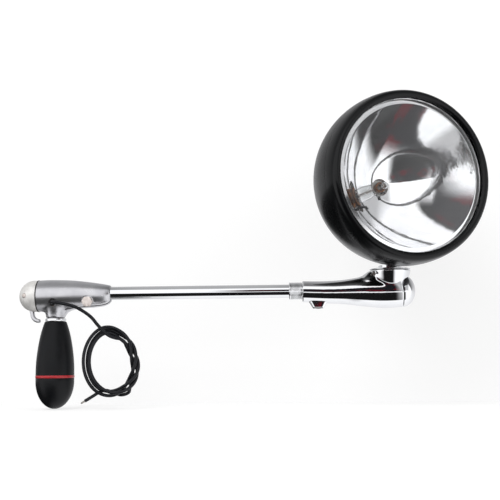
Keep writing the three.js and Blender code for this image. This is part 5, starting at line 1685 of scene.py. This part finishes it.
@dataclass
class Studio:
    """The camera, a pale floor and plain soft light.

    Attributes:
        place: The camera's place in metres.
        right: The picture's right.
        up: The picture's up.
        away: Where the camera looks.
        lens: The focal length on a 36 mm wide frame.
        floor_z: The floor's height.
        wall_y: The backdrop's place.
        paper_half: Half the floor's and the backdrop's width.
        paper_white: The strength at which unshaded paper comes out white.
        plain: The brightness that matt faces see all round.
        bands: The room's brightness by degrees round X, from the front upwards.
        cards: What stands in the room.
        cloth: The near cloth's limits along X and Z.
        cloth_y: Its place, in front of the shaft.
        cloth_soft: Half the width over which its ends and its long edges fade.
        cloth_patch: The size of its red patches.
        lights: Each lamp's name, place, aim, size and power.
    """

    place: tuple = (0.09584, -0.91503, -0.0639)
    right: tuple = (0.99854, 0.05332, -0.00865)
    up: tuple = (0.01462, -0.11258, 0.99354)
    away: tuple = (-0.052, 0.99221, 0.11319)
    lens: float = 68.4
    floor_z: float = -0.1112
    wall_y: float = 0.115
    paper_half: float = 3.0
    paper_white: float = 1.09
    plain: float = 0.75
    bands: tuple = (
        (-180, 0.9), (-60, 1.35), (52, 1.35), (64, 0.1), (90, 0.2), (125, 0.42), (156, 0.6), (180, 0.85),
    )
    cards: tuple = (
        Card(54, 150, -1.2, 0.0, 0.62, dense=0.8),
        Card(62, 104, -0.275, -0.215, 0.03),
        Card(-179, -66, -1.2, -0.3, 0.02),
        Card(-140, -60, -0.235, -0.165, 0.05, dense=0.85),
        Card(-72, -12, -0.72, 0.33, 0.01, soft=0.15),
        Card(0, 52, 0.3, 0.78, 0.01, dense=0.55, soft=0.12),
    )
    cloth: tuple = (-0.02, 0.28, -0.018, 0.107)
    cloth_y: float = -0.2
    cloth_soft: tuple = (0.03, 0.004)
    cloth_patch: float = 0.0714
    lights: tuple = (
        ("key", (-0.5, -1.1, 1.25), (0.05, 0, 0), 0.9, 13), ("fill", (1.2, -0.9, 0.6), (0.1, 0, 0), 0.8, 4),
    )

    def camera(self) -> None:
        """Sets the camera at the photograph's angle."""
        data = bpy.data.cameras.new("camera")
        data.lens = self.lens
        data.sensor_width = 36
        data.clip_start = 0.01
        made = shown("camera", data)
        columns = (Vector(self.right), Vector(self.up), -Vector(self.away))
        turn = Matrix(columns).transposed().to_4x4()
        made.matrix_world = Matrix.Translation(self.place) @ turn
        bpy.context.scene.camera = made

    def build(self) -> None:
        """Makes the floor, the backdrop, the cloth, the lamps and the world."""
        bpy.context.scene.view_settings.view_transform = "Standard"
        paper = self.paper()
        half, wall, low = self.paper_half, self.wall_y, self.floor_z
        for name, near, high in (("floor", -half, low), ("backdrop", wall, low + 4)):
            corners = [(-half, near, low), (half, near, low), (half, wall, high), (-half, wall, high)]
            sheet = self.sheet(name, corners, paper)
            sheet.visible_glossy = sheet.visible_transmission = False
        left, right, low, high = self.cloth
        corners = [(x, self.cloth_y, z) for x, z in ((left, low), (left, high), (right, high), (right, low))]
        self.sheet("dark_cloth", corners, self.cloth_material()).visible_camera = False
        for row in self.lights:
            self.light(*row)
        self.world()

    def sheet(self, name: str, corners: list, material: bpy.types.Material) -> Piece:
        """Puts up a flat sheet that neither lights nor shades matt faces.

        Args:
            name: Its name.
            corners: Its four corners in metres.
            material: What it is made of.

        Returns:
            The sheet.
        """
        mesh = bpy.data.meshes.new(name)
        mesh.from_pydata(corners, [], [(0, 1, 2, 3)])
        mesh.materials.append(material)
        made = shown(name, mesh)
        made.visible_diffuse = made.visible_shadow = False
        return made

    def paper(self) -> bpy.types.Material:
        """Makes white paper with the object's soft shadow on its front, which is clear from behind.

        Returns:
            The material.
        """
        made = bpy.data.materials.new("white_paper")
        tree = emptied(made)
        matt = add(tree, "BsdfDiffuse", {"Color": linear("#f4f4f4")})
        plain = add(tree, "Emission", {"Color": (1, 1, 1, 1), "Strength": self.paper_white})
        seen = add(tree, "LightPath").outputs["Is Camera Ray"]
        share = add(tree, "Math", {"operation": "MULTIPLY", 1: 0.6}, {0: seen})
        front = add(tree, "MixShader", {}, {0: share, 1: matt, 2: plain})
        behind = add(tree, "NewGeometry").outputs["Backfacing"]
        whole = add(tree, "MixShader", {}, {0: behind, 1: front, 2: add(tree, "BsdfTransparent")})
        add(tree, "OutputMaterial", {}, {"Surface": whole})
        return made

    def cloth_material(self) -> bpy.types.Material:
        """Makes the dark cloth: nearly black with dull red patches, clear at its edges.

        Returns:
            The material.
        """
        made = bpy.data.materials.new("dark_cloth")
        tree = emptied(made)
        place = add(tree, "TexCoord").outputs["Object"]
        parts = add(tree, "SeparateXYZ", {}, {0: place})
        left, right, low, high = self.cloth
        soft_x, soft_z = self.cloth_soft
        wide = self.within(tree, parts.outputs["X"], (left + soft_x, right - soft_x), soft_x)
        tall = self.within(tree, parts.outputs["Z"], (low + soft_z, high - 3 * soft_z), soft_z)
        share = add(tree, "Math", {"operation": "MULTIPLY"}, {0: wide, 1: tall})
        blotch = {"Scale": 1 / self.cloth_patch, "Detail": 3.0, "Distortion": 0.6}
        patches = add(tree, "TexNoise", blotch, {"Vector": place})
        red = self.within(tree, patches.outputs[0], (0.57, 0.65), 0.04)
        pair = {6: (0.014, 0.014, 0.017, 1), 7: (0.12, 0.008, 0.014, 1)}
        shade = add(tree, "Mix", {"data_type": "RGBA", **pair}, {0: red})
        glow = add(tree, "Emission", {"Strength": 1.0}, {"Color": shade.outputs[2]})
        whole = add(tree, "MixShader", {}, {0: share, 1: add(tree, "BsdfTransparent"), 2: glow})
        add(tree, "OutputMaterial", {}, {"Surface": whole})
        return made

    def light(self, name: str, place: tuple, target: tuple, size: float, power: float) -> None:
        """Adds a soft square lamp that metal and glass don't mirror.

        Args:
            name: Its name.
            place: Its place in metres.
            target: What it points at.
            size: Its side's length.
            power: Its power in watts.
        """
        data = bpy.data.lights.new(name, "AREA")
        data.size = size
        data.energy = power
        made = shown(name, data)
        made.location = place
        made.rotation_euler = (Vector(target) - Vector(place)).to_track_quat("-Z", "Y").to_euler()
        made.visible_glossy = made.visible_transmission = False

    def within(self, tree: Tree, value: bpy.types.NodeSocket, limits: tuple, soft: float) -> bpy.types.Node:
        """Gives one between two limits and none beyond them, with a soft edge.

        Args:
            tree: The node tree.
            value: The value that is tested.
            limits: The lower and the upper limit.
            soft: Half the edge's width.

        Returns:
            The node whose output is the share.
        """
        low, high = limits
        rise, fall = (
            add(tree, "MapRange", {
                "interpolation_type": "SMOOTHSTEP", "From Min": edge - soft, "From Max": edge + soft,
                "To Min": before, "To Max": after,
            }, {"Value": value})
            for edge, before, after in ((low, 0.0, 1.0), (high, 1.0, 0.0))
        )
        return add(tree, "Math", {"operation": "MULTIPLY"}, {0: rise, 1: fall})

    def room(self, tree: Tree) -> bpy.types.NodeSocket:
        """Paints the room that metal mirrors, by the angle round X from the front: its bands, then its cards.

        Args:
            tree: The world's node tree.

        Returns:
            The colour.
        """
        parts = add(tree, "SeparateXYZ", {}, {0: add(tree, "TexCoord").outputs["Generated"]})
        front = add(tree, "Math", {"operation": "MULTIPLY", 1: -1.0}, {0: parts.outputs["Y"]})
        angle = add(tree, "Math", {"operation": "ARCTAN2"}, {0: parts.outputs["Z"], 1: front})
        share = add(tree, "Math", {"operation": "MULTIPLY_ADD", 1: 1 / (2 * math.pi), 2: 0.5}, {0: angle})
        ramp = add(tree, "ValToRGB", {}, {0: share})
        stops = ramp.color_ramp.elements
        for i, (degrees, grey) in enumerate(self.bands):
            stop = stops[i] if i < 2 else stops.new(degrees / 360 + 0.5)
            stop.position = degrees / 360 + 0.5
            stop.color = self.cool(grey)
        colour = ramp.outputs[0]
        for card in self.cards:
            edges = (math.radians(card.low), math.radians(card.high))
            tall = self.within(tree, angle.outputs[0], edges, 0.04)
            wide = self.within(tree, parts.outputs["X"], (card.left, card.right), card.soft)
            both = add(tree, "Math", {"operation": "MULTIPLY"}, {0: tall, 1: wide})
            share = add(tree, "Math", {"operation": "MULTIPLY", 1: card.dense}, {0: both})
            mixed = add(tree, "Mix", {"data_type": "RGBA", 7: self.cool(card.grey)}, {0: share, 6: colour})
            colour = mixed.outputs[2]
        return colour

    def cool(self, grey: float) -> tuple[float, float, float, float]:
        """Gives a grey a trace of blue."""
        return (grey, grey, grey * 1.02, 1)

    def world(self) -> None:
        """Makes the world: white to the camera, plain light to matt faces, and a room to metal and glass."""
        world = bpy.data.worlds.new("studio")
        bpy.context.scene.world = world
        tree = emptied(world)
        path = add(tree, "LightPath")
        seen = add(tree, "Background", {"Strength": 1.0}, {"Color": self.room(tree)})
        plain = add(tree, "Background", {"Color": (self.plain, self.plain, self.plain, 1), "Strength": 1.0})
        white = add(tree, "Background", {"Color": (1, 1, 1, 1), "Strength": 1.0})
        glossy = add(tree, "MixShader", {}, {0: path.outputs["Is Glossy Ray"], 1: plain, 2: seen})
        whole = add(tree, "MixShader", {}, {0: path.outputs["Is Camera Ray"], 1: glossy, 2: white})
        add(tree, "OutputWorld", {}, {"Surface": whole})


def main() -> None:
    """Builds the camera and the wire first, then each sub-assembly in turn, then the studio."""
    logging.basicConfig(level=logging.INFO, format="%(message)s")
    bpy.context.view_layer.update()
    studio = Studio()
    studio.camera()
    palette = Palette()
    FreeWire().build(palette)
    palette.dress(frame["nodes"], frame["record"])
    for assembly in (Shaft(), InnerHead(), Trigger(), Handle(), OuterHead(), Lamp()):
        assembly.build(palette)
    studio.build()


if __name__ == "__main__":
    main()
